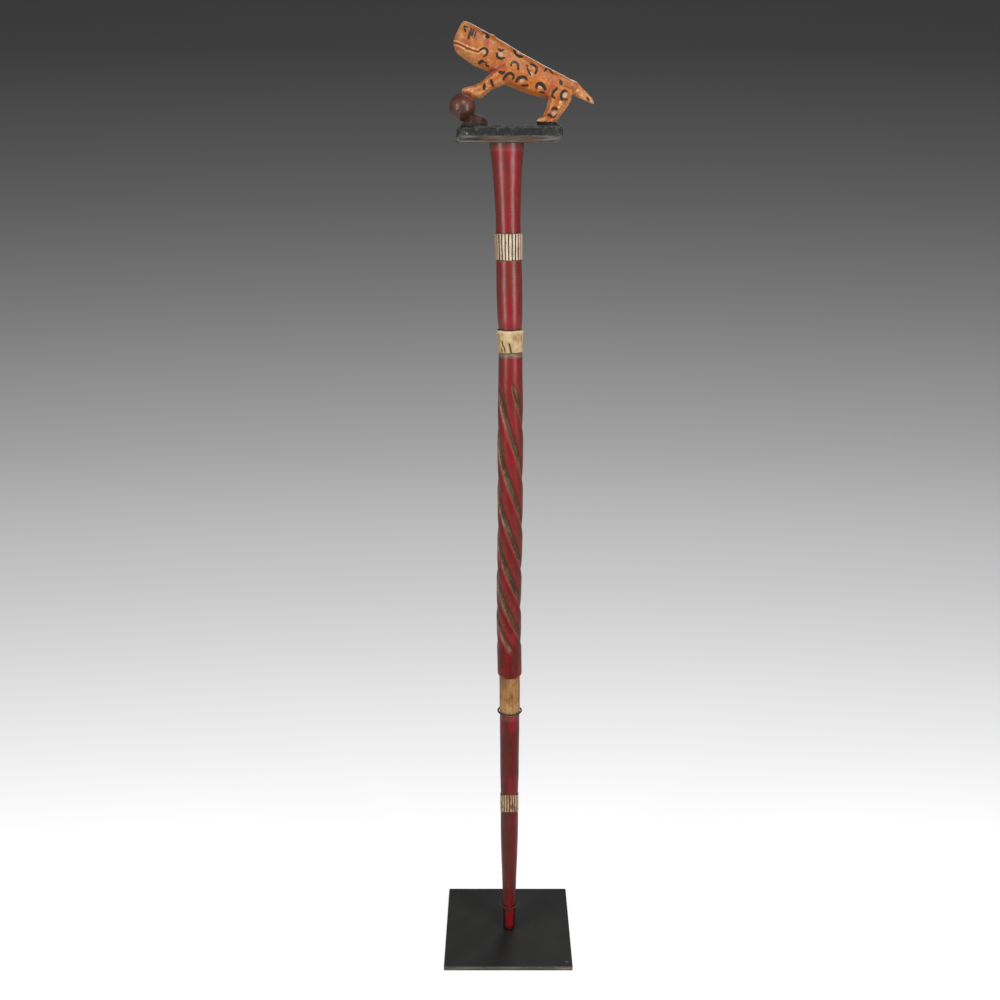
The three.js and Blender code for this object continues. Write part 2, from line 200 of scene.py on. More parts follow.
def pointsOf(piece):
    flat = np.empty(len(piece.data.vertices) * 3, dtype=np.float64)
    piece.data.vertices.foreach_get("co", flat)
    return flat.reshape(-1, 3) / mm


def normalsOf(piece):
    flat = np.empty(len(piece.data.vertices) * 3, dtype=np.float32)
    piece.data.vertices.foreach_get("normal", flat)
    return flat.reshape(-1, 3).astype(np.float64)


def movePoints(piece, points):
    piece.data.vertices.foreach_set("co", (points * mm).ravel())
    piece.data.update()


# Numbers that the paint goes by, one for each point or the same for all
def storeValues(piece, **values):
    for name, numbers in values.items():
        kept = piece.data.attributes.new(name, "FLOAT", "POINT")
        kept.data.foreach_set("value", np.full(len(piece.data.vertices), numbers, dtype=np.float32))


def roughness(points, size, seed):  # smooth noise from about -1 to 1 at each point
    shift = Vector((seed * 17.3, seed * 5.1, seed * 9.7))
    return np.array([noise.noise(Vector(point) * (1 / size) + shift) for point in points])


def smoothShare(value, low, high):
    share = np.clip((value - low) / (high - low), 0, 1)
    return share * share * (3 - 2 * share)


# Points close together on a smooth curve through a few points
def throughPoints(points, step):
    points = np.asarray(points, dtype=float)
    ends = [2 * points[0] - points[1], *points, 2 * points[-1] - points[-2]]
    found = []
    for a, b, c, d in zip(ends, ends[1:], ends[2:], ends[3:]):
        count = max(2, int(np.linalg.norm(c - b) / step))
        for t in np.arange(count) / count:
            bent = (2 * a - 5 * b + 4 * c - d) * t**2 + (3 * b - a - 3 * c + d) * t**3
            found.append(0.5 * (2 * b + (c - a) * t + bent))
    return np.array([*found, points[-1]])


# How far points of a plane, given by their two coordinates, are from a line of straight stretches
def distanceTo(line, across, up):
    best = np.full(len(across), 1e3)
    for (x0, z0), (x1, z1) in zip(line, line[1:]):
        length = math.hypot(x1 - x0, z1 - z0)
        share = np.clip(((across - x0) * (x1 - x0) + (up - z0) * (z1 - z0)) / length**2, 0, 1)
        best = np.minimum(best, np.hypot(across - x0 - share * (x1 - x0), up - z0 - share * (z1 - z0)))
    return best


# How far each point stands out of (over 0) or lies in (under 0) the surface round it, in millimetres
def relief(piece, rounds):
    count = len(piece.data.vertices)
    ends = np.empty(len(piece.data.edges) * 2, dtype=np.int64)
    piece.data.edges.foreach_get("vertices", ends)
    one, two = ends[0::2], ends[1::2]
    near = np.bincount(one, minlength=count) + np.bincount(two, minlength=count)
    points = pointsOf(piece)
    soft = points.copy()
    for _ in range(rounds):
        total = np.zeros_like(soft)
        for axis in range(3):
            total[:, axis] = np.bincount(one, soft[two, axis], count)
            total[:, axis] += np.bincount(two, soft[one, axis], count)
        soft = total / np.maximum(near, 1)[:, None]
    return np.einsum("ij,ij->i", points - soft, normalsOf(piece))


camera = {"place": (-0.0163, -2.0103, 1.4978), "pitch": 15.81, "lens": 40.53, "sensor": 36}


def makeCamera():
    startClean()
    tilt = math.radians(90 - camera["pitch"])
    bpy.ops.object.camera_add(location=camera["place"], rotation=(tilt, 0, 0))
    made = bpy.context.object
    made.data.lens = camera["lens"]
    made.data.sensor_width = camera["sensor"]
    bpy.context.scene.camera = made


studio = {
    "floorFront": -4.0,
    "floorBack": 3.2,
    "width": 12.0,
    "wallHeight": 5.0,
    "bend": 1.2,
    "key": {"turn": 12, "rise": 50, "far": 2.6, "size": (0.9, 0.9), "power": 24},
    "left": {"turn": -46, "rise": 12, "far": 2.2, "size": (0.75, 1.9), "power": 38},
    "right": {"turn": 43, "rise": 12, "far": 2.2, "size": (0.75, 1.9), "power": 40},
    "back": {"turn": 168, "rise": 42, "far": 2.7, "size": (1.0, 1.0), "power": 15},
    "aim": (0, 0, 1.0),
    "air": 0.16,
    "whiteFront": -0.3,  # metres in front of which the floor darkens
    "frontFade": 1.5,
    "frontMost": 1.6,
    "glow": 0.785,  # how much of the paper's own brightness it gives by itself
    "shaded": 0.3,  # how much of it takes the lamps' light
    "reach": 6.0,  # metres back plus metres up at which the tones end
    "tones": [(0, 1.0), (0.3, 1.0), (0.77, 0.87), (1.45, 0.718), (2.4, 0.556), (2.8, 0.468), (3.2, 0.371),
              (3.54, 0.304), (3.88, 0.235), (4.17, 0.18), (4.4, 0.138), (4.61, 0.103), (4.83, 0.077),
              (5.04, 0.057), (5.25, 0.038), (6.0, 0.018)],
}


# White round the stand and darker the further it runs back and up, or towards its front edge. The paper glows
# by itself, and its white and its darkening are painted light and painted shade.
def studioPaper():
    paper = Finish("studioPaper")
    paper.material.cycles.emission_sampling = "NONE"
    _, back, up = paper.axes()
    front = ((studio["whiteFront"] - back) * studio["frontFade"]).least(studio["frontMost"])
    run = (back + up).most(front)
    stops = [(metres / studio["reach"], (tone, tone, tone)) for metres, tone in studio["tones"]]
    tone = paper.node("ValToRGB", {"stops": stops}, {0: run / studio["reach"]})
    matt = paper.blend(studio["shaded"], (0, 0, 0), tone)
    return paper.shade(Base_Color=matt, Roughness=0.9, Emission_Color=tone, Emission_Strength=studio["glow"])


def makeStudio():
    startClean()
    deep = studio["floorBack"] - studio["floorFront"]
    middle = (studio["floorBack"] + studio["floorFront"]) / 2
    bpy.ops.mesh.primitive_plane_add(size=1, location=(0, middle, 0))
    floor = bpy.context.object
    floor.scale = (studio["width"], deep, 1)
    applyPlace()
    modeOf("EDIT")
    backEdge = studio["floorBack"] - 1e-4
    choose("edges", lambda edge: all(v.co.y > backEdge for v in edge.verts))
    bpy.ops.mesh.extrude_region_move(TRANSFORM_OT_translate={"value": (0, 0, studio["wallHeight"])})
    choose("edges", lambda edge: all(v.co.y > backEdge and v.co.z < 1e-4 for v in edge.verts))
    bpy.ops.mesh.bevel(offset=studio["bend"], segments=16, affect="EDGES")
    modeOf("OBJECT")
    bpy.ops.object.shade_smooth()
    floor.name = "studioSweep"
    floor.data.materials.append(studioPaper())


def makeLight(name):
    facts = studio[name]
    turn, rise = math.radians(facts["turn"]), math.radians(facts["rise"])
    aim = Vector(studio["aim"])
    away = Vector((math.sin(turn) * math.cos(rise), -math.cos(turn) * math.cos(rise), math.sin(rise)))
    startClean()
    bpy.ops.object.light_add(type="AREA", location=aim + away * facts["far"])
    lamp = bpy.context.object
    lamp.name = name + "Light"
    lamp.rotation_euler = away.to_track_quat("Z", "Y").to_euler()
    lamp.data.shape = "RECTANGLE"
    lamp.data.size, lamp.data.size_y = facts["size"]
    lamp.data.energy = facts["power"]


makeCamera()
makeStudio()
for lightName in ("key", "left", "right", "back"):
    makeLight(lightName)
world = bpy.data.worlds.new("studioAir")
world.use_nodes = True
world.node_tree.nodes["Background"].inputs["Color"].default_value = (1, 1, 1, 1)
world.node_tree.nodes["Background"].inputs["Strength"].default_value = studio["air"]
bpy.context.scene.world = world
bpy.context.scene.view_settings.view_transform = "Standard"
print("studio, camera and lights are set")


# Stand: satin black paint on steel

stand = {
    "edge": 0.8,
    "corner": 1.2,
    "chip": (116, -113, 3.4, 1.7),  # a small bare dent: its place on the plate and half its size
    "wire": 3.2,
    "rod": 9.5,
    "rodTop": 1.5,
    "beadWidth": 3.5,
    "beadHeight": 3.2,
    "brazeLength": 9,
    "wireSteps": (96, 16),
}


def standPaint():
    paint = Finish("satinBlackPaint")
    x, y, z = (axis / mm for axis in paint.axes())
    cloud = paint.grain(60, detail=4)
    speckle = paint.grain(1.2, detail=2)
    dust = paint.grain(18, detail=6, roughness=0.7).rise(0.5, 0.75)
    scuff = paint.grain(5, detail=5, roughness=0.7, stretch=(0.12, 1, 1.6), shift=(3, 0, 1))
    colour = paint.blend(cloud.rise(0.3, 0.7), (0.0105, 0.0105, 0.010), (0.0165, 0.0165, 0.0155))
    colour = paint.blend(dust * 0.25, colour, (0.03, 0.029, 0.026))

    # The plate's sides have a dusty, rubbed coat, barer at the front's right end
    side = z.rise(9.3, 8.4) * z.rise(1.2, 2.6)
    rubbed = paint.blend(scuff.rise(0.42, 0.62), (0.036, 0.036, 0.029), (0.085, 0.082, 0.062))
    rubbed = paint.blend(x.rise(84, 112) * scuff.rise(0.4, 0.55) * 0.8, rubbed, (0.17, 0.10, 0.08))
    colour = paint.blend(side, colour, rubbed)
    chipX, chipY, wide, deep = stand["chip"]
    off = ((x - chipX + (y - chipY) * 0.5) / wide) ** 2 + ((y - chipY) / deep) ** 2
    colour = paint.blend(off.rise(1.3, 0.5) * z.rise(9, 9.4) * z.rise(10, 9.6), colour, (0.115, 0.115, 0.105))
    lowRing = z.rise(50, 60) * z.rise(90, 80) * cloud.rise(0.3, 0.6)
    colour = paint.blend(lowRing * 0.8, colour, (0.05, 0.041, 0.034))
    rough = 0.46 + cloud * 0.12 + dust * 0.12
    dents = paint.dents(speckle, 0.05)
    return paint.shade(Base_Color=colour, Roughness=rough, Normal=dents, Specular_IOR_Level=0.3)


def makePlate(material):
    low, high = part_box("stand_plate")
    startClean()
    bpy.ops.mesh.primitive_cube_add(size=1, location=(low + high) / 2)
    plate = bpy.context.object
    plate.scale = high - low
    applyPlace()
    modeOf("EDIT")
    choose("edges", lambda edge: abs(edge.verts[0].co.z - edge.verts[1].co.z) > 1e-4)
    bpy.ops.mesh.bevel(offset=stand["corner"] * mm, segments=3, affect="EDGES")
    choose("faces", lambda face: abs(face.normal.z) > 0.9)
    bpy.ops.mesh.bevel(offset=stand["edge"] * mm, segments=3, affect="EDGES")
    modeOf("OBJECT")
    handOver(plate, "standPlate", material, "stand_black", "stand_plate", smoothAngle=8)


def makeRod(material):
    low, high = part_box("stand_rod")
    middle = (low + high) / 2
    startClean()
    radius = stand["rod"] / 2 * mm
    bpy.ops.mesh.primitive_cylinder_add(
        vertices=48, radius=radius, depth=high.z - low.z, location=middle, end_fill_type="NGON"
    )
    rod = bpy.context.object
    applyPlace()
    modeOf("EDIT")
    choose("faces", lambda face: face.normal.z > 0.9)
    bpy.ops.mesh.bevel(offset=stand["rodTop"] * mm, segments=5, affect="EDGES")
    modeOf("OBJECT")
    startClean()
    wide, tall = stand["beadWidth"] * mm, stand["beadHeight"] * mm
    bpy.ops.mesh.primitive_cone_add(
        vertices=48,
        radius1=radius + wide,
        radius2=radius + 0.2 * mm,
        depth=tall,
        location=(middle.x, middle.y, low.z + tall / 2),
        end_fill_type="NGON",
    )
    bead = bpy.context.object
    applyPlace()
    modeOf("EDIT")
    choose("faces", lambda face: abs(face.normal.z) < 0.95)
    bpy.ops.mesh.subdivide(number_cuts=3)
    modeOf("OBJECT")
    points = pointsOf(bead)
    away = points[:, :2] - np.array([middle.x, middle.y]) / mm
    far = np.linalg.norm(away, axis=1)
    share = (points[:, 2] - low.z / mm) / stand["beadHeight"]
    beaded = np.sin(np.clip(share, 0, 1) * math.pi) * 0.9 + 0.25 * roughness(points, 3, 3)
    moved = np.where((far > 1) & (share > 0.02) & (share < 0.98), beaded * 0.6, 0)
    points[:, :2] += away / np.maximum(far, 1e-6)[:, None] * moved[:, None]
    movePoints(bead, points)
    pickOnly(rod)
    bead.select_set(True)
    bpy.ops.object.join()
    handOver(rod, "standRod", material, "stand_black", "stand_rod", smoothAngle=40)


# A wire ring round the staff, with the joint's lump of filler where it is brazed to the rod
def makeRing(node, name, material):
    low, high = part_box(node)
    middle = (low + high) / 2
    outer = (high.x - low.x) / 2
    wire = stand["wire"] / 2 * mm
    rounds, sides = stand["wireSteps"]
    startClean()
    bpy.ops.mesh.primitive_torus_add(
        major_segments=rounds,
        minor_segments=sides,
        major_radius=outer - wire,
        minor_radius=wire,
        location=middle,
    )
    ring = bpy.context.object
    applyPlace()
    points = pointsOf(ring)
    centre = np.array(middle) / mm
    flat = points[:, :2] - centre[:2]
    across = np.linalg.norm(flat, axis=1)
    core = (outer - wire) / mm
    atBack = np.exp(-((np.arctan2(flat[:, 0], flat[:, 1]) * core / (stand["brazeLength"] / 2)) ** 2))
    inward = across < core
    spread = 1 + 0.22 * atBack
    grown = core + (across - core) * np.where(inward, 1, np.minimum(spread, 1.1))
    points[:, :2] = centre[:2] + flat / across[:, None] * grown[:, None]
    points[:, 2] = centre[2] + (points[:, 2] - centre[2]) * spread
    movePoints(ring, points)
    handOver(ring, name, material, "stand_black", node)


blackPaint = standPaint()
makePlate(blackPaint)
makeRod(blackPaint)
makeRing("upper_ring", "upperRing", blackPaint)
makeRing("lower_ring", "lowerRing", blackPaint)
print("stand is made")


# Shafts: carved wood in dark red oil paint, with cream and tan bands

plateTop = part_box("stand_plate")[1].z / mm
ringLow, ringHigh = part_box("upper_ring")
staffX, staffY = (ringLow.x + ringHigh.x) / 2 / mm, (ringLow.y + ringHigh.y) / 2 / mm

lower = {
    "sides": 160,
    "tip": 278,
    "foot": (24, 35.2),
    "footRound": 2.5,
    "band": (38.5, 36.8, 20),  # length, diameter and ribs
    "bandWave": 3.6,  # how much higher the band's edges are cut at the front than between front and side
    "barrel": 174.5,
    "barrelSizes": [(0, 34.3), (12, 34.9), (34, 36.2), (87.25, 37.2), (174.5, 38.2)],
    "midBand": (79, 39.6),
    "twist": 625,
    "twistSizes": (46.8, 42.8),
    "shoulder": 8,
    "taper": 160,
    "bow": (2, 710, 170),  # to the left, the height where it is most, and its reach to either side
    "ledge": (3.5, 1.6),  # the bare chamfer at the top: how far down and how far in
    "ribDepth": 1.2,
    "uneven": 0.25,  # how far the turning is off round
    "edgeWave": 0.7,  # how far the bands' ends run up and down
}

flutes = {
    "count": 4,
    "depth": 4.5,
    "fade": 40,
    "foot": 45,
    "top": 577,
    "first": 65.4,
    "spacing": 68,
    "growth": 7.5,
    "section": [(-45, 0), (-30, 0), (-19, -0.04), (-14.5, -0.05), (-12, 0.2), (-9, 0.66), (-5, 0.95), (0, 1),
                (5, 0.92), (9, 0.74), (14, 0.52), (20, 0.33), (28, 0.14), (38, 0.02), (45, 0)],
}

upper = {
    "sides": 192,
    "lean": 7.4,
    "gap": 0.3,
    "opening": 1.6,
    "band": 40.5,
    "bandSizes": [(0, 44.2), (16.2, 45.2), (40.5, 47.6)],
    "barrel": 120.5,
    "barrelSizes": [(0, 40), (12, 43), (40, 44.9), (85, 45.3), (120.5, 44)],
    "topBand": (45.5, 47.2, 24),
    "flare": 2.4,
    "neck": 148.4,
    "neckSizes": [(0, 43.4), (17.8, 42.6), (66.8, 46.4), (111.3, 51.84), (148.4, 60)],
    "ribDepth": 1.5,
    "cutDepth": 1.1,
    "uneven": 0.2,
    "edgeWave": 0.9,
    # Cuts in the cream band: both ends, in degrees right of the front and up from the seam, and half width
    "cuts": [(-42, 21, -36, 12, 1.1), (-48, 9, -42, 1.5, 1.0), (-30, 10, -26, 2, 1.0), (-5, 17, 3, 1, 1.3),
             (55, 30, 58, 22, 0.7), (118, 25, 128, 8, 1.1), (160, 12, 168, 2, 1.1), (-100, 18, -94, 5, 1.1)],
    # Where the shafts are rubbed brown, which at the front's left and right sides is also painted shade:
    # degrees to the right of the front, reach and strength
    "brownAndShadedSides": [(-66, 20, 1.0), (66, 18, 0.8), (140, 26, 0.7), (205, 22, 0.8)],
}


bandFoot = lower["tip"]
lowBarrelFoot = bandFoot + lower["band"][0]
midBandFoot = lowBarrelFoot + lower["barrel"]
twistFoot = midBandFoot + lower["midBand"][0]
seam = twistFoot + lower["twist"]
highBarrelFoot = seam + upper["band"]
topBandFoot = highBarrelFoot + upper["barrel"]
neckFoot = topBandFoot + upper["topBand"][0]
staffTop = neckFoot + upper["neck"]


def sizeAlong(pairs, height):  # a diameter on the smooth curve through [height, diameter] pairs
    heights = [h for h, _ in pairs]
    sizes = [d for _, d in pairs]
    slopes = np.gradient(sizes, heights)
    place = min(max(np.searchsorted(heights, height, side="right") - 1, 0), len(pairs) - 2)
    width = heights[place + 1] - heights[place]
    t = (height - heights[place]) / width
    first = (2 * t**3 - 3 * t**2 + 1) * sizes[place] + (t**3 - 2 * t**2 + t) * width * slopes[place]
    second = (3 * t**2 - 2 * t**3) * sizes[place + 1] + (t**3 - t**2) * width * slopes[place + 1]
    return first + second


# Heights from one to another about a step apart, with one more close to each end
def heightsBetween(start, end, step, edge=0.35):
    count = max(1, round((end - start) / step))
    inner = list(np.linspace(start + edge, end - edge, count + 1))
    return [start, *inner, end] if edge else inner


def stretch(start, end, step, sizeAt, edge=0.35, round_=0.0):
    found = []
    for height in heightsBetween(start, end, step, edge):
        near = min(height - start, end - height)
        found.append((height, sizeAt(height) / 2 - round_ * max(0, 1 - near / max(edge, 0.01)) ** 2))
    return found


def lowerProfile():
    small, large = lower["foot"]

    def tipSize(height):
        rounded = max(0, 1 - height / (2 * lower["footRound"]))
        size = small + (large - small) * smoothShare(height / lower["tip"], 0, 0.93)
        return size - 2 * lower["footRound"] * rounded**2

    def twistSize(height):
        wide, narrow = lower["twistSizes"]
        size = wide + (narrow - wide) * smoothShare(height, seam - lower["taper"], seam)
        rise = min(1, (height - twistFoot) / lower["shoulder"])
        down, inward = lower["ledge"]
        cut = 2 * inward * max(0, 1 - (seam - height) / down)
        inner = lower["midBand"][1]
        return inner + (size - inner) * (0.1 + 0.9 * (1 - (1 - rise) ** 2.6)) - cut

    profile = [(0.0, 0.0)]
    profile += stretch(0, bandFoot, 4.5, tipSize, 0.8)
    profile += stretch(bandFoot + 0.3, lowBarrelFoot, 2, lambda h: lower["band"][1], 0.8, 0.5)
    barrelSize = lambda h: sizeAlong(lower["barrelSizes"], h - lowBarrelFoot)
    profile += stretch(lowBarrelFoot + 0.3, midBandFoot, 4, barrelSize, 0.3)
    profile += stretch(midBandFoot + 0.2, twistFoot - 0.1, 4, lambda h: lower["midBand"][1], 0.8, 0.25)
    profile += stretch(twistFoot, twistFoot + lower["shoulder"], 1.2, twistSize, 0)
    profile += stretch(twistFoot + lower["shoulder"] + 1.9, seam - 5, 1.9, twistSize, 0)
    profile += stretch(seam - 4.4, seam, 0.6, twistSize, 0)
    return profile + [(seam, 0.0)]


# Turns a profile of [height, radius] pairs round the staff's middle
def turned(profile, sides):
    startClean()
    bpy.ops.mesh.primitive_plane_add(size=2, location=(0, 0, 0))
    piece = bpy.context.object
    modeOf("EDIT")
    choose("verts", lambda vert: vert.co.x < 0 or vert.co.y < 0)
    bpy.ops.mesh.delete(type="VERT")
    bpy.ops.mesh.select_all(action="SELECT")
    bpy.ops.transform.translate(value=(profile[0][1] * mm - 1, -1, profile[0][0] * mm))
    for (height, radius), (nextHeight, nextRadius) in zip(profile, profile[1:]):
        step = ((nextRadius - radius) * mm, 0, (nextHeight - height) * mm)
        bpy.ops.mesh.extrude_vertices_move(TRANSFORM_OT_translate={"value": step})
    bpy.ops.mesh.select_all(action="SELECT")
    bpy.ops.mesh.spin(steps=sides, angle=2 * math.pi, center=(0, 0, 0), axis=(0, 0, 1))
    bpy.ops.mesh.select_all(action="SELECT")
    bpy.ops.mesh.remove_doubles(threshold=1e-6)
    bpy.ops.mesh.normals_make_consistent(inside=False)
    modeOf("OBJECT")
    return piece


def turnsPassed(height):
    rise = np.maximum(height, twistFoot) - twistFoot - flutes["first"]
    linear = flutes["spacing"] - flutes["growth"] / 2
    return (np.sqrt(linear**2 + 2 * flutes["growth"] * rise) - linear) / flutes["growth"]


# Degrees from each point to the nearest flute, over 0 on the flute's right side
def offFlute(angles, heights):
    apart = 360 / flutes["count"]
    fluteAngle = -90 - apart * turnsPassed(heights)
    return (np.degrees(angles) - fluteAngle + apart / 2) % apart - apart / 2


def ribGrooves(angles, count, points, seed):  # 0 on a rib's crown and 1 in the groove between two ribs
    apart = 360 / count
    wander = 1.5 * roughness(points * [1, 1, 0.3], 9, seed)
    off = np.abs((np.degrees(angles) + wander + apart / 2) % apart - apart / 2)
    wide = apart * (0.32 + 0.1 * roughness(points * [1, 1, 0.4], 6, seed + 4))
    return np.clip(1 - off / wide, 0, 1) ** 1.2, 1 - (off / (apart / 2) - 1) ** 2


def bowAt(heights):
    most, middle, reach = lower["bow"]
    return -most * smoothShare(1 - np.minimum(np.abs(heights - middle) / reach, 1), 0, 1)


# The points of a turned length with their heights, angles and distances from its middle, and 1 on its side.
# The paint goes by height, degrees to the right of the front, and how far rubbed brown, which at the left and
# right sides is also painted shade.
def placesOf(piece):
    points = pointsOf(piece)
    heights = points[:, 2].copy()
    angles = np.arctan2(points[:, 1], points[:, 0])
    radius = np.hypot(points[:, 0], points[:, 1])
    turn = np.degrees(angles) + 90
    gap = lambda at: (turn - at + 180) % 360 - 180
    brown = sum(share * np.exp(-((gap(at) / reach) ** 2)) for at, reach, share in upper["brownAndShadedSides"])
    brown += np.exp(-((gap(-18) / 17) ** 2)) * smoothShare(heights, 505, 470) * smoothShare(heights, 40, 110)
    storeValues(piece, along=heights, turn=turn, rubbedBrown=brown)
    return points, heights, angles, radius, smoothShare(radius, 4, 10)


def uneven(points, most, seed):
    long = roughness(points * [1, 1, 0.3], 14, seed)
    return most * (long + 0.4 * roughness(points * [1, 1, 0.5], 5, seed + 1))


def edgeWave(points, heights, edges, reach, size, seed):
    near = sum(np.exp(-(((heights - edge) / reach) ** 2)) for edge in edges)
    return near * roughness(points * [1, 1, 0.05], size, seed)


def makeLowerShaft(material):
    piece = turned(lowerProfile(), lower["sides"])
    points, heights, angles, radius, onSide = placesOf(piece)
    rise = heights - twistFoot
    strength = smoothShare(rise, flutes["foot"], flutes["foot"] + flutes["fade"])
    strength *= 1 - smoothShare(rise, flutes["top"] - flutes["fade"], flutes["top"])
    off = offFlute(angles, heights) + 1.5 * roughness(points * [1, 1, 0.5], 40, 5)
    depth = 1 + 0.12 * roughness(points, 30, 6)
    cut = flutes["depth"] * strength * np.interp(off, *zip(*flutes["section"])) * depth

    inBand = (heights > bandFoot) & (heights <= lowBarrelFoot)
    groove, crown = ribGrooves(angles, lower["band"][2], points, 11)
    groove = np.where(inBand, groove, 0)
    cut += np.where(inBand, lower["ribDepth"] * groove + 0.25 * (1 - crown), 0)
    storeValues(piece, flute=np.where(rise > 0, strength, 0), offFlute=off, cut=6, ribGroove=groove)

    radius = radius + (uneven(points, lower["uneven"], 1) - cut) * onSide
    edges = [bandFoot, lowBarrelFoot, midBandFoot, twistFoot]
    points[:, 2] += lower["edgeWave"] * edgeWave(points, heights, edges, 5, 16, 8) * onSide
    aroundBand = smoothShare(heights, bandFoot - 22, bandFoot - 2)
    aroundBand *= smoothShare(heights, lowBarrelFoot + 22, lowBarrelFoot + 2)
    points[:, 2] -= aroundBand * lower["bandWave"] * np.cos(2 * angles) * onSide
    points[:, 0] = staffX + bowAt(heights) + np.cos(angles) * radius
    points[:, 1] = staffY + np.sin(angles) * radius
    points[:, 2] = np.maximum(points[:, 2] + plateTop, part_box("lower_shaft")[0].z / mm)
    movePoints(piece, points)
    storeValues(piece, relief=relief(piece, 10))
    handOver(piece, "lowerShaft", material, "shaft_paint", "lower_shaft", smoothAngle=60)


def upperProfile():
    bandSize = lambda h: sizeAlong(upper["bandSizes"], h - seam)
    barrelSize = lambda h: sizeAlong(upper["barrelSizes"], h - highBarrelFoot)
    neckSize = lambda h: sizeAlong(upper["neckSizes"], h - neckFoot)
    profile = [(seam, 0.0)]
    profile += stretch(seam, highBarrelFoot, 2, bandSize, 0.6, 0.5)
    profile += stretch(highBarrelFoot + 0.3, topBandFoot, 3, barrelSize, 0.3)
    topSize = lambda h: upper["topBand"][1] + upper["flare"] * (h - topBandFoot) / upper["topBand"][0]
    profile += stretch(topBandFoot + 0.2, neckFoot, 1.6, topSize, 0.8, 0.6)
    profile += stretch(neckFoot + 0.3, staffTop, 3, neckSize, 0.3)
    return profile + [(staffTop, 0.0)]


# How far each point is from the cuts in the cream band, in half widths of a cut
def awayFromCuts(angles, heights, radius):
    best = np.full(len(angles), 6.0)
    turn = (np.degrees(angles) + 90 + 180) % 360 - 180
    for turnOne, upOne, turnTwo, upTwo, half in upper["cuts"]:
        arc = math.radians(1) * upper["bandSizes"][0][1] / 2
        line = [(turnOne * arc, seam + upOne), (turnTwo * arc, seam + upTwo)]
        best = np.minimum(best, distanceTo(line, turn * arc, heights) / half)
    return np.where(radius > 10, best, 6.0)


def makeUpperShaft(material):
    piece = turned(upperProfile(), upper["sides"])
    points, heights, angles, radius, onSide = placesOf(piece)
    offCut = awayFromCuts(angles, heights, radius)
    inBand = (heights > topBandFoot) & (heights <= neckFoot)
    groove, crown = ribGrooves(angles, upper["topBand"][2], points, 21)
    groove = np.where(inBand, groove, 0)
    storeValues(piece, flute=0, offFlute=45, cut=offCut, ribGroove=groove)
    cut = np.where(inBand, upper["ribDepth"] * groove + 0.35 * (1 - crown), 0)
    cut += upper["cutDepth"] * np.exp(-(offCut**2))
    radius = radius + (uneven(points, upper["uneven"], 31) - cut) * onSide

    edges = [highBarrelFoot, topBandFoot, neckFoot]
    points[:, 2] += upper["edgeWave"] * edgeWave(points, heights, edges, 6, 13, 38) * onSide
    across = np.cos(angles) * radius
    atSeam = np.exp(-(((heights - seam) / 5) ** 2))
    wedge = upper["opening"] * (0.5 + across / upper["bandSizes"][0][1]) * atSeam
    drift = -upper["lean"] * (heights - seam) / (staffTop - seam)
    points[:, 0] = staffX + drift + across
    points[:, 1] = staffY + np.sin(angles) * radius
    points[:, 2] += plateTop + upper["gap"] + wedge
    movePoints(piece, points)
    storeValues(piece, relief=relief(piece, 10))
    handOver(piece, "upperShaft", material, "shaft_paint", "upper_shaft", smoothAngle=60)


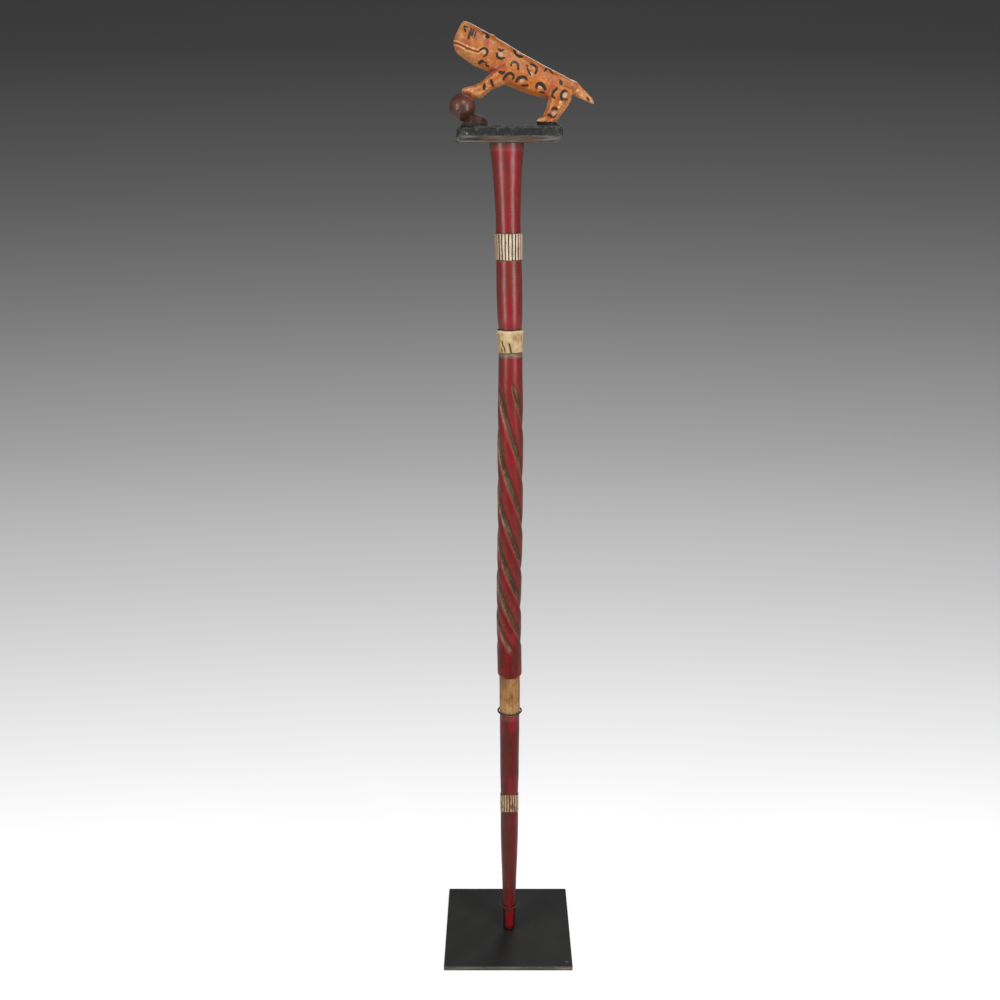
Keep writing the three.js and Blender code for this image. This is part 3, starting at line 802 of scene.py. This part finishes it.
def shaftPaint():
    paint = Finish("shaftPaint")
    along, turn, proud = (paint.stored(name) for name in ("along", "turn", "relief"))
    fibre = paint.grain(2.6, detail=5, roughness=0.65, stretch=(1, 1, 0.07))
    fine = paint.grain(0.9, detail=3, stretch=(1, 1, 0.2))
    clouds = paint.grain(30, detail=4, roughness=0.6, stretch=(1, 1, 0.3))
    blots = paint.grain(11, detail=6, roughness=0.72, stretch=(1, 1, 0.4), shift=(3, 1, 2), warp=0.6)
    smears = paint.grain(9, detail=4, roughness=0.6, stretch=(1, 1, 0.16), shift=(9, 4, 3))
    specks = paint.grain(2.4, detail=6, roughness=0.75, shift=(5, 2, 7))
    wander = (paint.grain(7, detail=4, roughness=0.6) - 0.5) * 3.0
    edge = along + wander

    def between(low, high, soft=0.5):
        return along.rise(low - soft, low + soft) * along.rise(high + soft, high - soft)

    # Red paint: brighter towards the top and darker lower down, as painted shade for the light falling off
    # downwards; clearer at the foot, browner between, with patches of crimson and of brick red
    brown = paint.blend(fibre, (0.026, 0.009, 0.0048), (0.058, 0.024, 0.013))
    low = along.rise(490, 440) * along.rise(70, 130)
    patina = smears.rise(0.54, 0.66) * (0.45 + low * 0.5)
    patina = patina.most(blots.rise(0.52, 0.7) * (0.3 + low * 0.45))
    rubbed = paint.grain(16, detail=6, roughness=0.7, stretch=(1, 1, 0.5), shift=(1, 8, 5)).rise(0.62, 0.72)
    worn = proud.rise(0.08, 0.42) * specks.rise(0.35, 0.6) * along.rise(twistFoot + 6, twistFoot + 14)
    # Painted shade: the foot's sides and its lowest few millimetres go nearly black, for the shade there and
    # the black plate's reflection
    sides = abs(turn).rise(30, 58) * along.rise(60, 48)
    red = paint.coats(
        (0.084, 0.0028, 0.0024),
        # Painted light and shade: the red brighter towards the top and darker lower down, for the light
        # falling off downwards
        (along.rise(560, 1240), (0.160, 0.0085, 0.009)),
        (along.rise(500, 400) * 0.85, (0.076, 0.0052, 0.004)),
        (along.rise(110, 30), (0.13, 0.006, 0.006)),
        (clouds.rise(0.49, 0.6) * 0.75, (0.185, 0.0035, 0.009)),
        (clouds.rise(0.5, 0.34) * 0.55, (0.105, 0.017, 0.007)),
        (patina, brown),
        # Rubbed brown, which at the front's left and right sides is also painted shade
        (paint.stored("rubbedBrown") * blots.rise(0.32, 0.56) * 0.7, brown),
        (fibre.rise(0.54, 0.74) * 0.35, (0.05, 0.009, 0.007)),
        (specks.rise(0.68, 0.76) * 0.5, (0.03, 0.012, 0.008)),
        (rubbed * specks.rise(0.4, 0.55) * 0.4, (0.21, 0.085, 0.058)),
        (worn * 0.45, (0.25, 0.08, 0.052)),
        (along.rise(staffTop - 14, staffTop - 3) * blots.rise(0.3, 0.55) * 0.8, brown),
        # painted shade and reflection, nearly black, on the foot's sides and bottom
        (sides.most(along.rise(17, 4)) * 0.88, (0.010, 0.004, 0.003)),
    )

    # Flutes: greenish grey-brown paint, a pale line along the left edge that is a painted highlight, and
    # painted shade in dark brown up the right slope
    off, flute = paint.stored("offFlute"), paint.stored("flute")
    stray = off + (paint.grain(8, detail=5, roughness=0.7, shift=(2, 2, 2)) - 0.5) * 9
    # Painted shade: the right slope of each flute is darkened brown
    slope = stray.rise(2, 9) * stray.rise(26, 13) * flute.rise(0.2, 0.7)
    inFlute = stray.rise(-12.5, -10.5) * stray.rise(11, 5) * flute.rise(0.06, 0.4)
    moss = paint.coats(
        (0.040, 0.030, 0.015),
        (blots.rise(0.42, 0.58), (0.105, 0.078, 0.044)),
        (clouds.rise(0.52, 0.62) * 0.8, (0.115, 0.055, 0.042)),
        (fibre.rise(0.52, 0.74) * 0.6, (0.035, 0.031, 0.015)),
    )
    # Painted highlight: a pale line along each flute's left edge, strongest at the front's left and right
    # sides
    line = abs(off + 13).rise(3.4, 0.8) * flute.rise(0.3, 0.75) * (abs(turn).rise(12, 32) * 0.75 + 0.25)
    line = line * paint.grain(10, detail=5, roughness=0.7, stretch=(1, 1, 0.5)).rise(0.42, 0.6)

    # The bare ledge where the lower length ends
    ledge = (along + wander * 2.2).rise(seam - 10, seam - 4) * along.rise(seam + 0.4, seam + 0.1)
    bare = paint.blend(fibre, (0.075, 0.058, 0.038), (0.16, 0.132, 0.092))

    # Bands: worn ribbed tan, plain golden tan, plain cream and ribbed cream
    stains = blots.rise(0.44, 0.66)
    groove, offCut = paint.stored("ribGroove"), paint.stored("cut")
    pink = specks.rise(0.45, 0.6) * clouds.rise(0.48, 0.6)
    olive = edge.rise(twistFoot - 34, twistFoot - 12) * (turn + wander * 4).rise(8, -30)
    lowTan = paint.coats(
        (0.40, 0.275, 0.15),
        (stains, (0.14, 0.060, 0.023)),
        (pink * 0.7, (0.25, 0.09, 0.05)),
        (groove.rise(0.12, 0.6) * 0.92, (0.022, 0.010, 0.006)),
    )
    goldTan = paint.coats(
        (0.275, 0.135, 0.047),
        (stains * 0.85, (0.105, 0.046, 0.016)),
        (edge.rise(530, 500) * specks.rise(0.35, 0.6) * 0.8, (0.38, 0.24, 0.105)),
        (olive * 0.7, (0.085, 0.060, 0.027)),
        (pink * 0.55, (0.29, 0.13, 0.075)),
        (fibre.rise(0.5, 0.66) * 0.6, (0.075, 0.034, 0.014)),
    )
    cream = paint.coats(
        (0.41, 0.305, 0.17),
        (stains * 0.9, (0.235, 0.135, 0.056)),
        (specks.rise(0.62, 0.72) * 0.4, (0.14, 0.07, 0.028)),
        (edge.rise(highBarrelFoot - 7, highBarrelFoot - 3) * 0.6, (0.50, 0.40, 0.26)),
        (offCut.rise(4.5, 1.5) * specks.rise(0.35, 0.6) * 0.6, (0.20, 0.105, 0.04)),
        (offCut.rise(1.5, 0.8), (0.055, 0.025, 0.009)),
    )
    ivory = paint.coats(
        (0.49, 0.40, 0.275),
        (stains * 0.7, (0.225, 0.15, 0.085)),
        (turn.rise(-14, -50) * 0.75, (0.24, 0.14, 0.085)),
        (turn.rise(20, 56) * 0.6, (0.38, 0.23, 0.175)),
        (pink * edge.rise(neckFoot - 18, topBandFoot + 6) * 0.8, (0.31, 0.145, 0.105)),
        ((groove + (specks - 0.5) * 0.5).rise(0.14, 0.6), (0.030, 0.016, 0.009)),
    )

    # Over all of it: dark lines at the bands' ends, a scrape under the upper ring, and painted shade in dark
    # brown where the surface lies deep
    dark = sum(between(at - 0.9, at + 0.9) for at in (lowBarrelFoot, highBarrelFoot, topBandFoot, neckFoot))
    scrape = (along + wander * 2).rise(midBandFoot - 17, midBandFoot - 6)
    scrape = scrape * along.rise(midBandFoot + 0.5, midBandFoot)
    colour = paint.coats(
        red,
        # painted shade up the flutes' right slopes, the flutes' paint, and the painted highlight along their
        # left edges
        (slope * 0.7, (0.052, 0.0095, 0.006)),
        (inFlute, moss),
        (line * 0.65, (0.27, 0.155, 0.105)),
        (ledge * 0.85, bare),
        (between(bandFoot, lowBarrelFoot, 0.4), lowTan),
        (between(midBandFoot, twistFoot, 0.4), goldTan),
        (between(seam, highBarrelFoot, 0.4), cream),
        (between(topBandFoot, neckFoot, 0.4), ivory),
        (dark * 0.7, (0.03, 0.012, 0.009)),
        (scrape * specks.rise(0.42, 0.56) * 0.4, (0.20, 0.085, 0.068)),
        # Painted shade: darker brown where the surface lies deep
        (proud.rise(-0.15, -0.7) * 0.5, (0.035, 0.016, 0.009)),
    )

    bandArea = between(midBandFoot, twistFoot).most(between(seam, highBarrelFoot))
    rough = 0.27 + blots * 0.2 + inFlute * 0.2 + bandArea * 0.2 + patina * 0.1
    dents = paint.dents(fine, 0.1, paint.dents(fibre, 0.3))
    mottle = paint.grain(6, detail=5, roughness=0.7, stretch=(1, 1, 0.5), shift=(6, 6, 6))
    coat = (0.04 + along.rise(1100, 1240) * 0.8 * mottle) * (1 - bandArea) * (1 - inFlute)
    paint.shade(Base_Color=colour, Roughness=rough, Normal=dents, Coat_Weight=coat, Coat_Roughness=0.3)
    return paint.shade(Specular_IOR_Level=0.13)


redPaint = shaftPaint()
makeLowerShaft(redPaint)
makeUpperShaft(redPaint)
print("shafts are made")


# Finial: the leopard, the ball and its rough seat, and the plaque, carved as one

finial = {
    "fromLeft": 103.8,  # from the ball's left side to the finial's middle
    "voxel": 1.42,  # size of the even mesh
    "softening": 22,  # rounds of smoothing after the mesh is made even
    "plaqueTop": 27.5,
    "padTop": 33,
    "bevelTop": 10,
    "thinEnd": 3.0,  # what the plaque's left end lacks in thickness
    "rockTop": 60,  # under which what isn't the ball is its seat
    "ballMoved": (1.8, -4.2),  # how far the ball has settled on its seat, along and up
    "seatMoved": (3.0, -3.0),  # how far the seat's end runs out and its top comes down
    "chip": (-72, 13.5),  # a pale ring-shaped chip in the plaque's front: along and up
    "ball": (-81.3, 61.5, 22.5),  # along, up, and its radius
    "hole": (-87.3, 54.4, 1.2),
    "holeDepth": 2.2,
    "chipDepth": 0.9,
    "markDepth": 0.35,  # how deep the thin marks are cut
    "lip": 0.6,
    "near": 3.4,  # how near a mark the skin gets a finer mesh
    "nearMouth": 5,
}

# Painted marks: how thick half of each is, and its points along the animal and up from the plaque's underside
strokes = {
    "besideMouth": (1.4, [(-47.9, 145.2), (-43.4, 147.4), (-39.0, 146.4), (-36.7, 141.9), (-39.0, 137.0),
                          (-43.5, 135.0)]),
    "neckDash": (1.5, [(-18.6, 146.5), (-14.1, 144.1), (-9.7, 146.3)]),
    "neckCup": (1.6, [(-21.3, 139.7), (-20.4, 134.7), (-15.0, 131.7), (-8.8, 133.0)]),
    "throatArch": (2.0, [(-50.8, 124.8), (-46.2, 127.8), (-42.7, 126.8)]),
    "throatLine": (0.9, [(-42.7, 126.8), (-37.3, 124.1)]),
    "throatDash": (1.9, [(-39.2, 122.5), (-35.6, 120.2)]),
    "backCup": (2.1, [(6.4, 145.3), (9.9, 139.6), (14.4, 135.7), (20.3, 135.0)]),
    "shoulderArch": (1.6, [(1.9, 120.2), (2.8, 124.5), (8.1, 126.2), (13.1, 122.8), (13.9, 115.2)]),
    "flankLeft": (1.2, [(28.3, 121.3), (29.2, 115.3), (34.1, 106.0)]),
    "flankRight": (1.8, [(34.6, 123.0), (40.3, 121.4), (44.3, 115.5), (42.1, 108.6)]),
    "loinArch": (1.4, [(56.8, 112.2), (61.1, 116.8), (65.6, 115.2), (70.5, 109.0)]),
    "shoulderDash": (2.0, [(-16.8, 111.3), (-12.3, 109.6), (-9.3, 110.9)]),
    "elbowHook": (1.7, [(-7.0, 106.2), (-0.7, 108.7), (5.0, 107.0), (6.4, 102.8), (4.3, 99.9)]),
    "elbowSlash": (1.6, [(-10.5, 99.9), (-5.2, 106.2), (-0.7, 107.9)]),
    "ribArch": (1.9, [(11.0, 96.2), (13.2, 100.3), (18.0, 102.8), (24.3, 102.7), (28.4, 98.6)]),
    "ribDash": (1.6, [(19.4, 90.0), (29.4, 90.3)]),
    "bellyArch": (2.2, [(44.2, 86.1), (45.0, 91.1), (50.3, 92.7), (55.8, 89.4), (58.6, 84.4)]),
    "bellyDash": (1.2, [(48.8, 80.4), (56.9, 79.2)]),
    "rumpDot": (2.2, [(83.5, 98.0), (85.0, 92.5)]),
    "thighLeft": (1.8, [(77.8, 85.6), (72.0, 79.3), (70.3, 74.3), (74.4, 70.4)]),
    "thighCup": (1.8, [(94.7, 81.8), (89.0, 81.2), (85.1, 75.8), (86.4, 69.0), (95.1, 68.4)]),
    "kneeArch": (1.9, [(70.6, 52.9), (75.0, 54.6), (78.7, 52.1)]),
    "shinDash": (2.2, [(64.0, 44.4), (68.4, 41.9)]),
    "shinCup": (1.1, [(67.1, 40.2), (72.6, 39.8), (77.1, 42.8)]),
    "armBar": (1.9, [(-41.9, 93.4), (-42.9, 85.0)]),
    "armSlash": (1.8, [(-31.1, 98.0), (-27.6, 89.8)]),
    "tailTip": (1.2, [(129.2, 73.0), (133.1, 67.9)]),
    "whiskerOne": (1.1, [(-72.6, 181.5), (-74.4, 179.0), (-72.6, 173.0)]),
    "whiskerTwo": (1.7, [(-62.9, 177.8), (-64.7, 171.3), (-67.9, 162.8)]),
    "whiskerThree": (1.3, [(-59.0, 175.6), (-61.1, 169.6), (-62.5, 166.2)]),
    "whiskerFour": (0.8, [(-55.8, 173.0), (-57.9, 164.5)]),
    "whiskerBar": (0.9, [(-74.9, 181.5), (-67.8, 180.1)]),
    "eyeDark": (2.1, [(-43.8, 172.6), (-39.9, 171.0), (-35.5, 166.6), (-38.5, 164.9)]),
}

# The same hand's marks along the top of the back: along the animal, to the far side, and the turn of each arc
backSpots = [(-36, -6, 200), (-20, 7, 20), (24, 5, 160), (46, -4, 300), (62, 6, 90), (82, -4, 220)]
backSpot = {"radius": 5.5, "sweep": 170, "half": 1.7}

# Grooves left bare of black: half width, depth, and points; the first is the open mouth
cuts = {
    "mouth": (0.95, 1.6, [(-106, 162.0), (-87.9, 155.9), (-79.2, 152.3), (-70.3, 147.7), (-61.3, 144.3),
                          (-52.4, 142.0), (-47.9, 144.8)]),
    "cheek": (1.6, 0.7, [(-35.0, 164.0), (-36.3, 156.2), (-38.1, 151.1)]),
    "shoulderFold": (1.8, 0.9, [(-31.2, 114.2), (-22.2, 115.6), (-15.0, 119.4), (-7.5, 122.6)]),
    "thighFold": (2.0, 0.8, [(72, 100), (67, 90), (64, 80)]),
    "toeOne": (0.8, 0.9, [(45.5, 37.6), (48.6, 35.0)]),
    "toeTwo": (0.8, 0.9, [(49.6, 38.4), (52.8, 35.4)]),
    "pawOne": (0.8, 0.8, [(-84.6, 82.8), (-79.2, 80.6)]),
    "pawTwo": (0.8, 0.8, [(-78.9, 84.6), (-74.4, 79.6)]),
}

# Grey-white paint inside some of the spots: along, up and radius
whites = [(-15, 138.1, 4.4), (13.5, 141.5, 4.6), (35.5, 107.5, 4.4), (50.2, 88.0, 4.2), (90.0, 75.3, 4.8),
          (-42.3, 141.5, 3.6), (-41.3, 163.8, 2.8), (19.6, 97.6, 3.4), (72.5, 46.6, 3.6)]

# Where red shows in the orange, and where the coat is paler, partly rubbed and partly a painted highlight:
# along, up and reach
reds = [(-36, 158, 8), (-27, 116, 11), (-13, 121, 9), (70, 94, 8), (-70, 77, 8), (61, 80, 7), (-86, 149, 7),
        (66, 43, 7)]
palesAndHighlights = [(83.8, 63.9, 4), (81.3, 56, 3.5), (113, 83, 4), (121, 76, 3.5), (49, 36, 5), (-82, 83, 4),
         (-70, 150.5, 3), (-60, 146.8, 3)]


def finialFrame():
    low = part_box("finial")[0]
    return np.array([low.x / mm + finial["fromLeft"], staffY, low.z / mm])


def copiedFinial():
    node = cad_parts["finial"]
    startClean()
    copy = node.copy()
    copy.data = node.data.copy()
    for key in list(copy.keys()):
        del copy[key]
    bpy.context.scene.collection.objects.link(copy)
    pickOnly(copy)
    modeOf("EDIT")
    bpy.ops.mesh.select_all(action="SELECT")
    bpy.ops.mesh.remove_doubles(threshold=1e-6)
    modeOf("OBJECT")
    return copy


# Points of the surface that are met first from some starts in one direction
def onSkin(skin, starts, direction):
    hits = [skin.ray_cast(Vector(start) * mm, Vector(direction))[0] for start in starts]
    return [np.array(hit) / mm for hit in hits if hit]


def sideStarts(points, origin, side, step=0.3):
    return [(x + origin[0], origin[1] + side * 200, z + origin[2]) for x, z in throughPoints(points, step)]


# A brush mark is thickest a little before or after its middle
def tapered(spots, half, chance):
    middle = chance.uniform(0.35, 0.65)
    shares = np.linspace(0, 1, max(len(spots), 2))
    return [(spot, half * (1.4 - 1.6 * (share - middle) ** 2)) for spot, share in zip(spots, shares)]


# Every painted mark, as points on the surface with half its thickness at each
def paintedMarks(skin, origin):
    chance = random.Random(4)
    marks = []
    for side in (-1, 1):
        for name, (half, points) in strokes.items():
            onHead = name.startswith(("whisker", "eye"))
            shift = (0, 0) if side < 0 or onHead else (chance.uniform(-5, 7), chance.uniform(-2.5, 2.5))
            moved = [(x + shift[0], z + shift[1]) for x, z in points]
            marks += tapered(onSkin(skin, sideStarts(moved, origin, side), (0, -side, 0)), half, chance)
    for along, across, turned in backSpots:
        starts = []
        for step in np.linspace(0, 1, 40):
            angle = math.radians(turned + step * backSpot["sweep"])
            x = along + backSpot["radius"] * math.cos(angle)
            y = across + backSpot["radius"] * math.sin(angle)
            starts.append((origin[0] + x, origin[1] + y, origin[2] + 260))
        marks += tapered(onSkin(skin, starts, (0, 0, -1)), backSpot["half"], chance)
    return marks


# Lowers the ball on its seat, and shapes the seat's top and its end
def settle(points, x, z, fromBall):
    ballR, foot = finial["ball"][2], finial["plaqueTop"]
    near = smoothShare(fromBall, ballR + 7, ballR + 0.5) * smoothShare(z, foot, foot + 6)
    onSeat = smoothShare(x, -34, -40) * (z < finial["rockTop"])
    top = onSeat * smoothShare(z, foot + 1, 46)
    slope = 1 + 1.3 * smoothShare(x, -56, -43)
    along, up = finial["ballMoved"]
    out, down = finial["seatMoved"]
    points[:, 2] += np.minimum(near * up, top * down * slope)
    outward = smoothShare(x, -64, -46) * smoothShare(z, foot + 0.5, foot + 4)
    points[:, 0] += near * along + (1 - near) * onSeat * outward * out


# How far each point is from the grey-white spots on both sides, in their own sizes
def awayFromWhites(skin, origin, points):
    best = np.full(len(points), 6.0)
    for side in (-1, 1):
        for along, up, size in whites:
            starts = sideStarts([(along, up), (along, up + 0.1)], origin, side, 1)
            for spot in onSkin(skin, starts, (0, -side, 0))[:1]:
                best = np.minimum(best, np.linalg.norm(points - spot, axis=1) / size)
    return best


def makeFinial(material):
    piece = copiedFinial()
    origin = finialFrame()
    useModifier(piece, "REMESH", {"mode": "VOXEL", "voxel_size": finial["voxel"] * mm, "adaptivity": 0})
    local = pointsOf(piece) - origin
    ballX, ballZ, ballR = finial["ball"]
    animal = smoothShare(local[:, 2], finial["padTop"] + 1, finial["padTop"] + 5)
    head = smoothShare(local[:, 0], -39, -52) * smoothShare(local[:, 2], 110, 125)
    group = piece.vertex_groups.new(name="softer")
    for index, weight in enumerate(np.clip(0.25 + animal * (1 - 0.75 * head), 0, 1)):
        group.add([index], float(weight), "REPLACE")
    smoothing = {"factor": 0.5, "iterations": finial["softening"], "vertex_group": "softer"}
    useModifier(piece, "SMOOTH", smoothing)

    pickOnly(piece)
    skin = BVHTree.FromObject(piece, bpy.context.evaluated_depsgraph_get())
    marks = paintedMarks(skin, origin)
    tree = KDTree(len(marks))
    for index, (spot, _) in enumerate(marks):
        tree.insert(spot, index)
    tree.balance()
    halves = np.array([half for _, half in marks])

    points = pointsOf(piece)
    local = points - origin
    fine = np.array([tree.find(spot)[2] for spot in points]) < finial["near"]
    nearMouth = distanceTo(cuts["mouth"][2], local[:, 0], local[:, 2]) < finial["nearMouth"]
    fine |= nearMouth & (local[:, 0] < -44)
    modeOf("EDIT")
    choose("verts", lambda vert: fine[vert.index])
    bpy.ops.mesh.subdivide(number_cuts=1)
    modeOf("OBJECT")

    points = pointsOf(piece)
    normals = normalsOf(piece)
    local = points - origin
    x, y, z = local.T
    top = finial["plaqueTop"]
    nearest = [tree.find(spot) for spot in points]
    away = np.array([found[2] for found in nearest])
    half = halves[[found[1] for found in nearest]]
    white = awayFromWhites(skin, origin, points)
    spot = lambda along, up, reach: np.exp(-(((x - along) ** 2 + (z - up) ** 2) / reach**2))
    spread = lambda facts: np.max([spot(*fact) for fact in facts], axis=0)
    storeValues(piece, mark=np.minimum(away / half, 6), white=white, red=spread(reds), pale=spread(palesAndHighlights))

    fromBall = np.linalg.norm(local - [ballX, 0, ballZ], axis=1)
    onBall = smoothShare(fromBall, ballR + 1.6, ballR + 0.2)
    # Painted shade where the paws meet the ball
    underPaw = smoothShare(fromBall, ballR + 5, ballR + 2) * smoothShare(z, ballZ + 8, ballZ + 12)
    underPaw *= 1 - onBall
    onRock = (x < -30) & (z < finial["rockTop"]) & (fromBall > ballR + 0.4)
    onPad = (x > 40) & (z < finial["padTop"] + 0.4)
    black = np.maximum(smoothShare(z, top + 1.2, top - 0.4), onRock | onPad)
    rock = onRock * smoothShare(z, top + 1, top + 5)
    bevel = smoothShare(z, finial["bevelTop"] + 0.6, finial["bevelTop"] - 0.8)
    storeValues(piece, ball=onBall, underPaw=underPaw, rock=rock, bevel=bevel)
    storeValues(piece, plaque=np.minimum(black * 1.5, 1))

    atBack = np.where(y < 0, 0, 50)  # the hole and the chip are at the front alone
    holeX, holeZ, holeR = finial["hole"]
    fromHole = np.hypot(x - holeX, z - holeZ) + atBack
    chipX, chipZ = finial["chip"]
    fromChip = np.hypot(x - chipX, (z - chipZ) * 1.4) + atBack + 4 * smoothShare(chipX - x, -0.5, 2)
    storeValues(piece, hole=np.minimum(fromHole / holeR, 6), chip=np.minimum(fromChip, 9))

    chips = roughness(points, 13, 41) + 0.6 * roughness(points, 5, 42) + 0.3 * roughness(points, 2.4, 43)
    tool = 0.4 * roughness(points, 15, 44) + 0.16 * roughness(points, 5, 45)
    moved = black * (chips - 0.6) * finial["chipDepth"] + (1 - black) * tool * (1 - 0.85 * onBall)
    onAnimal = (1 - onBall) * (z > top + 6)
    for name, (wide, depth, line) in cuts.items():
        off = distanceTo(line, x, z)
        there = onAnimal if name != "mouth" else onAnimal * (x < -40)
        moved -= depth * np.exp(-((off / wide) ** 2)) * there
        if name == "mouth":
            moved += finial["lip"] * np.exp(-(((off - 3.2) / 1.4) ** 2)) * there
            storeValues(piece, mouth=np.where(there > 0.5, np.minimum(off / wide, 6), 6))
    moved -= finial["markDepth"] * np.exp(-((away / 0.9) ** 2)) * (half < 1.3)
    moved -= finial["holeDepth"] * np.exp(-((fromHole / holeR) ** 2))
    moved *= smoothShare(z, 0.2, 2) + (z < 0.2) * 0.15
    points += normals * moved[:, None]
    thinner = finial["thinEnd"] * smoothShare(x, -20, -88) * smoothShare(z, 16, 26) * (black > 0.5)
    points[:, 2] -= thinner * smoothShare(z, top + 6, top + 1)
    settle(points, x, z, fromBall)
    points[:, 2] = np.maximum(points[:, 2], origin[2])
    movePoints(piece, points)
    storeValues(piece, relief=relief(piece, 12))
    handOver(piece, "finialCarving", material, "finial_paint", "finial")


def leopardPaint():
    paint = Finish("leopardPaint")
    x, _, z = paint.axes()
    proud, ball, slab = (paint.stored(name) for name in ("relief", "ball", "plaque"))
    mouth, chip = paint.stored("mouth"), paint.stored("chip")
    clouds = paint.grain(30, detail=4, roughness=0.6)
    blots = paint.grain(9, detail=6, roughness=0.7, shift=(2, 5, 1), warp=0.5)
    fine = paint.grain(2.2, detail=5, roughness=0.7)
    brush = paint.grain(2.0, detail=4, stretch=(0.35, 1, 0.8), shift=(1, 4, 2))
    hairs = paint.grain(0.8, detail=3)

    towardHead = (z * 0.9 - x).rise(1.40, 1.63)
    redHere = (paint.stored("red") + (fine - 0.5) * 0.8).rise(0.35, 0.8)
    paleAndHighlightHere = (paint.stored("pale") + (fine - 0.5) * 1.1).rise(0.45, 0.9)
    worn = proud.rise(0.12, 0.55) * fine.rise(0.38, 0.6)
    scuff = paint.grain(24, detail=5, roughness=0.65, shift=(7, 3, 9)).rise(0.6, 0.72) * fine.rise(0.4, 0.6)
    # Painted highlight on the lips beside the mouth
    lipHighlight = mouth.rise(1.6, 2.4) * mouth.rise(5, 3.8) * fine.rise(0.3, 0.5)
    grey = (paint.stored("white") + (fine - 0.5) * 1.2).rise(1.05, 0.6)
    inked = (paint.stored("mark") + (fine - 0.5) * 0.7).rise(1.15, 0.85)
    ink = paint.blend(blots.rise(0.45, 0.7), (0.008, 0.006, 0.003), (0.017, 0.018, 0.010))
    orange = paint.coats(
        (0.335, 0.092, 0.0125),
        (towardHead, (0.29, 0.092, 0.0175)),
        (clouds.rise(0.46, 0.62) * 0.75, (0.225, 0.045, 0.009)),
        (blots.rise(0.52, 0.68) * 0.6, (0.44, 0.195, 0.046)),
        (brush.rise(0.5, 0.68) * 0.6, (0.165, 0.040, 0.008)),
        (redHere * 0.65, (0.26, 0.038, 0.018)),
        # Paler coat, partly rubbed and partly painted highlights on the thigh, tail, feet and mouth
        (paleAndHighlightHere * 0.7, (0.54, 0.34, 0.165)),
        (worn * 0.65, (0.50, 0.30, 0.14)),
        (scuff * 0.5, (0.32, 0.22, 0.12)),
        # Painted shade: darker brown where the surface lies deep, in creases and between limbs
        (proud.rise(-0.08, -0.7) * 0.85, (0.085, 0.018, 0.007)),
        # Painted shade, dark brown, where the paws meet the ball
        (paint.stored("underPaw") * 0.85, (0.065, 0.014, 0.009)),
        # The mouth's slit dark red, partly red paint and partly painted shade
        (mouth.rise(1.5, 0.8) * 0.9, (0.15, 0.034, 0.017)),
        # pale painted highlight on the lips
        (lipHighlight * 0.5, (0.50, 0.27, 0.13)),
        (grey * 0.55, (0.35, 0.31, 0.23)),
        (inked * 0.97, ink),
    )

    # The ball: brown over red, darker below as painted shade, with a small deep hole painted near black
    # inside as painted shade
    ballTint = paint.coats(
        (0.105, 0.040, 0.025),
        (clouds.rise(0.35, 0.65), (0.062, 0.019, 0.011)),
        (fine.rise(0.58, 0.7) * 0.45, (0.035, 0.014, 0.009)),
        # Painted shade: the ball darker below, and near black in its hole
        ((z / mm).rise(1628, 1606) * 0.7, (0.028, 0.009, 0.006)),
        (paint.stored("hole").rise(1.3, 0.8), (0.004, 0.002, 0.002)),
    )

    # The plaque: black, chipped and dusty, with its seat of dark maroon, lighter on its raised parts as a
    # painted highlight, and its underside streaked grey
    maroon = paint.coats(
        (0.010, 0.007, 0.0055),
        (blots, (0.040, 0.014, 0.012)),
        # Painted highlight: the seat's raised parts lighter, pinkish maroon
        (proud.rise(0.2, 0.7) * 0.5, (0.10, 0.042, 0.038)),
    )
    sooty = paint.coats(
        (0.0035, 0.0035, 0.0032),
        (blots.rise(0.35, 0.7), (0.015, 0.017, 0.0165)),
        (proud.rise(0.15, 0.6) * fine.rise(0.4, 0.6) * 0.6, (0.085, 0.085, 0.078)),
        (scuff * 0.5, (0.06, 0.052, 0.040)),
        (paint.stored("rock"), maroon),
        (chip.rise(3.2, 2.6) * chip.rise(1.2, 1.9), (0.16, 0.16, 0.15)),
    )
    streaks = paint.grain(7, detail=5, stretch=(0.12, 1, 1.5))
    nearNeck = abs(x / mm).rise(62, 40) * paint.grain(9, detail=5, stretch=(0.3, 1, 1), shift=(4, 4, 4))
    dots = paint.grain(4, detail=6, roughness=0.75, stretch=(0.4, 1, 1), shift=(8, 1, 3)).rise(0.58, 0.68)
    under = paint.coats(
        (0.13, 0.118, 0.10),
        (streaks.rise(0.33, 0.58), (0.015, 0.013, 0.011)),
        (nearNeck.rise(0.12, 0.6) * 0.55, (0.10, 0.062, 0.035)),
        (dots * 0.6, (0.016, 0.012, 0.010)),
    )
    bevelLine = paint.stored("bevel") * (fine * 0.4 + 0.8).least(1)
    coat = paint.coats(orange, (ball, ballTint), (slab, sooty), (bevelLine, under))

    rough = 0.40 + blots * 0.16 + slab * 0.14 - ball * 0.08 + inked * 0.08
    dents = paint.dents(hairs, 0.08, paint.dents(brush, 0.2))
    gloss = 0.12 - slab * 0.12 + ball * 0.12
    paint.shade(Base_Color=coat, Roughness=rough, Normal=dents, Coat_Weight=gloss, Coat_Roughness=0.16)
    return paint.shade(Specular_IOR_Level=0.22)


makeFinial(leopardPaint())
print("finial is made")
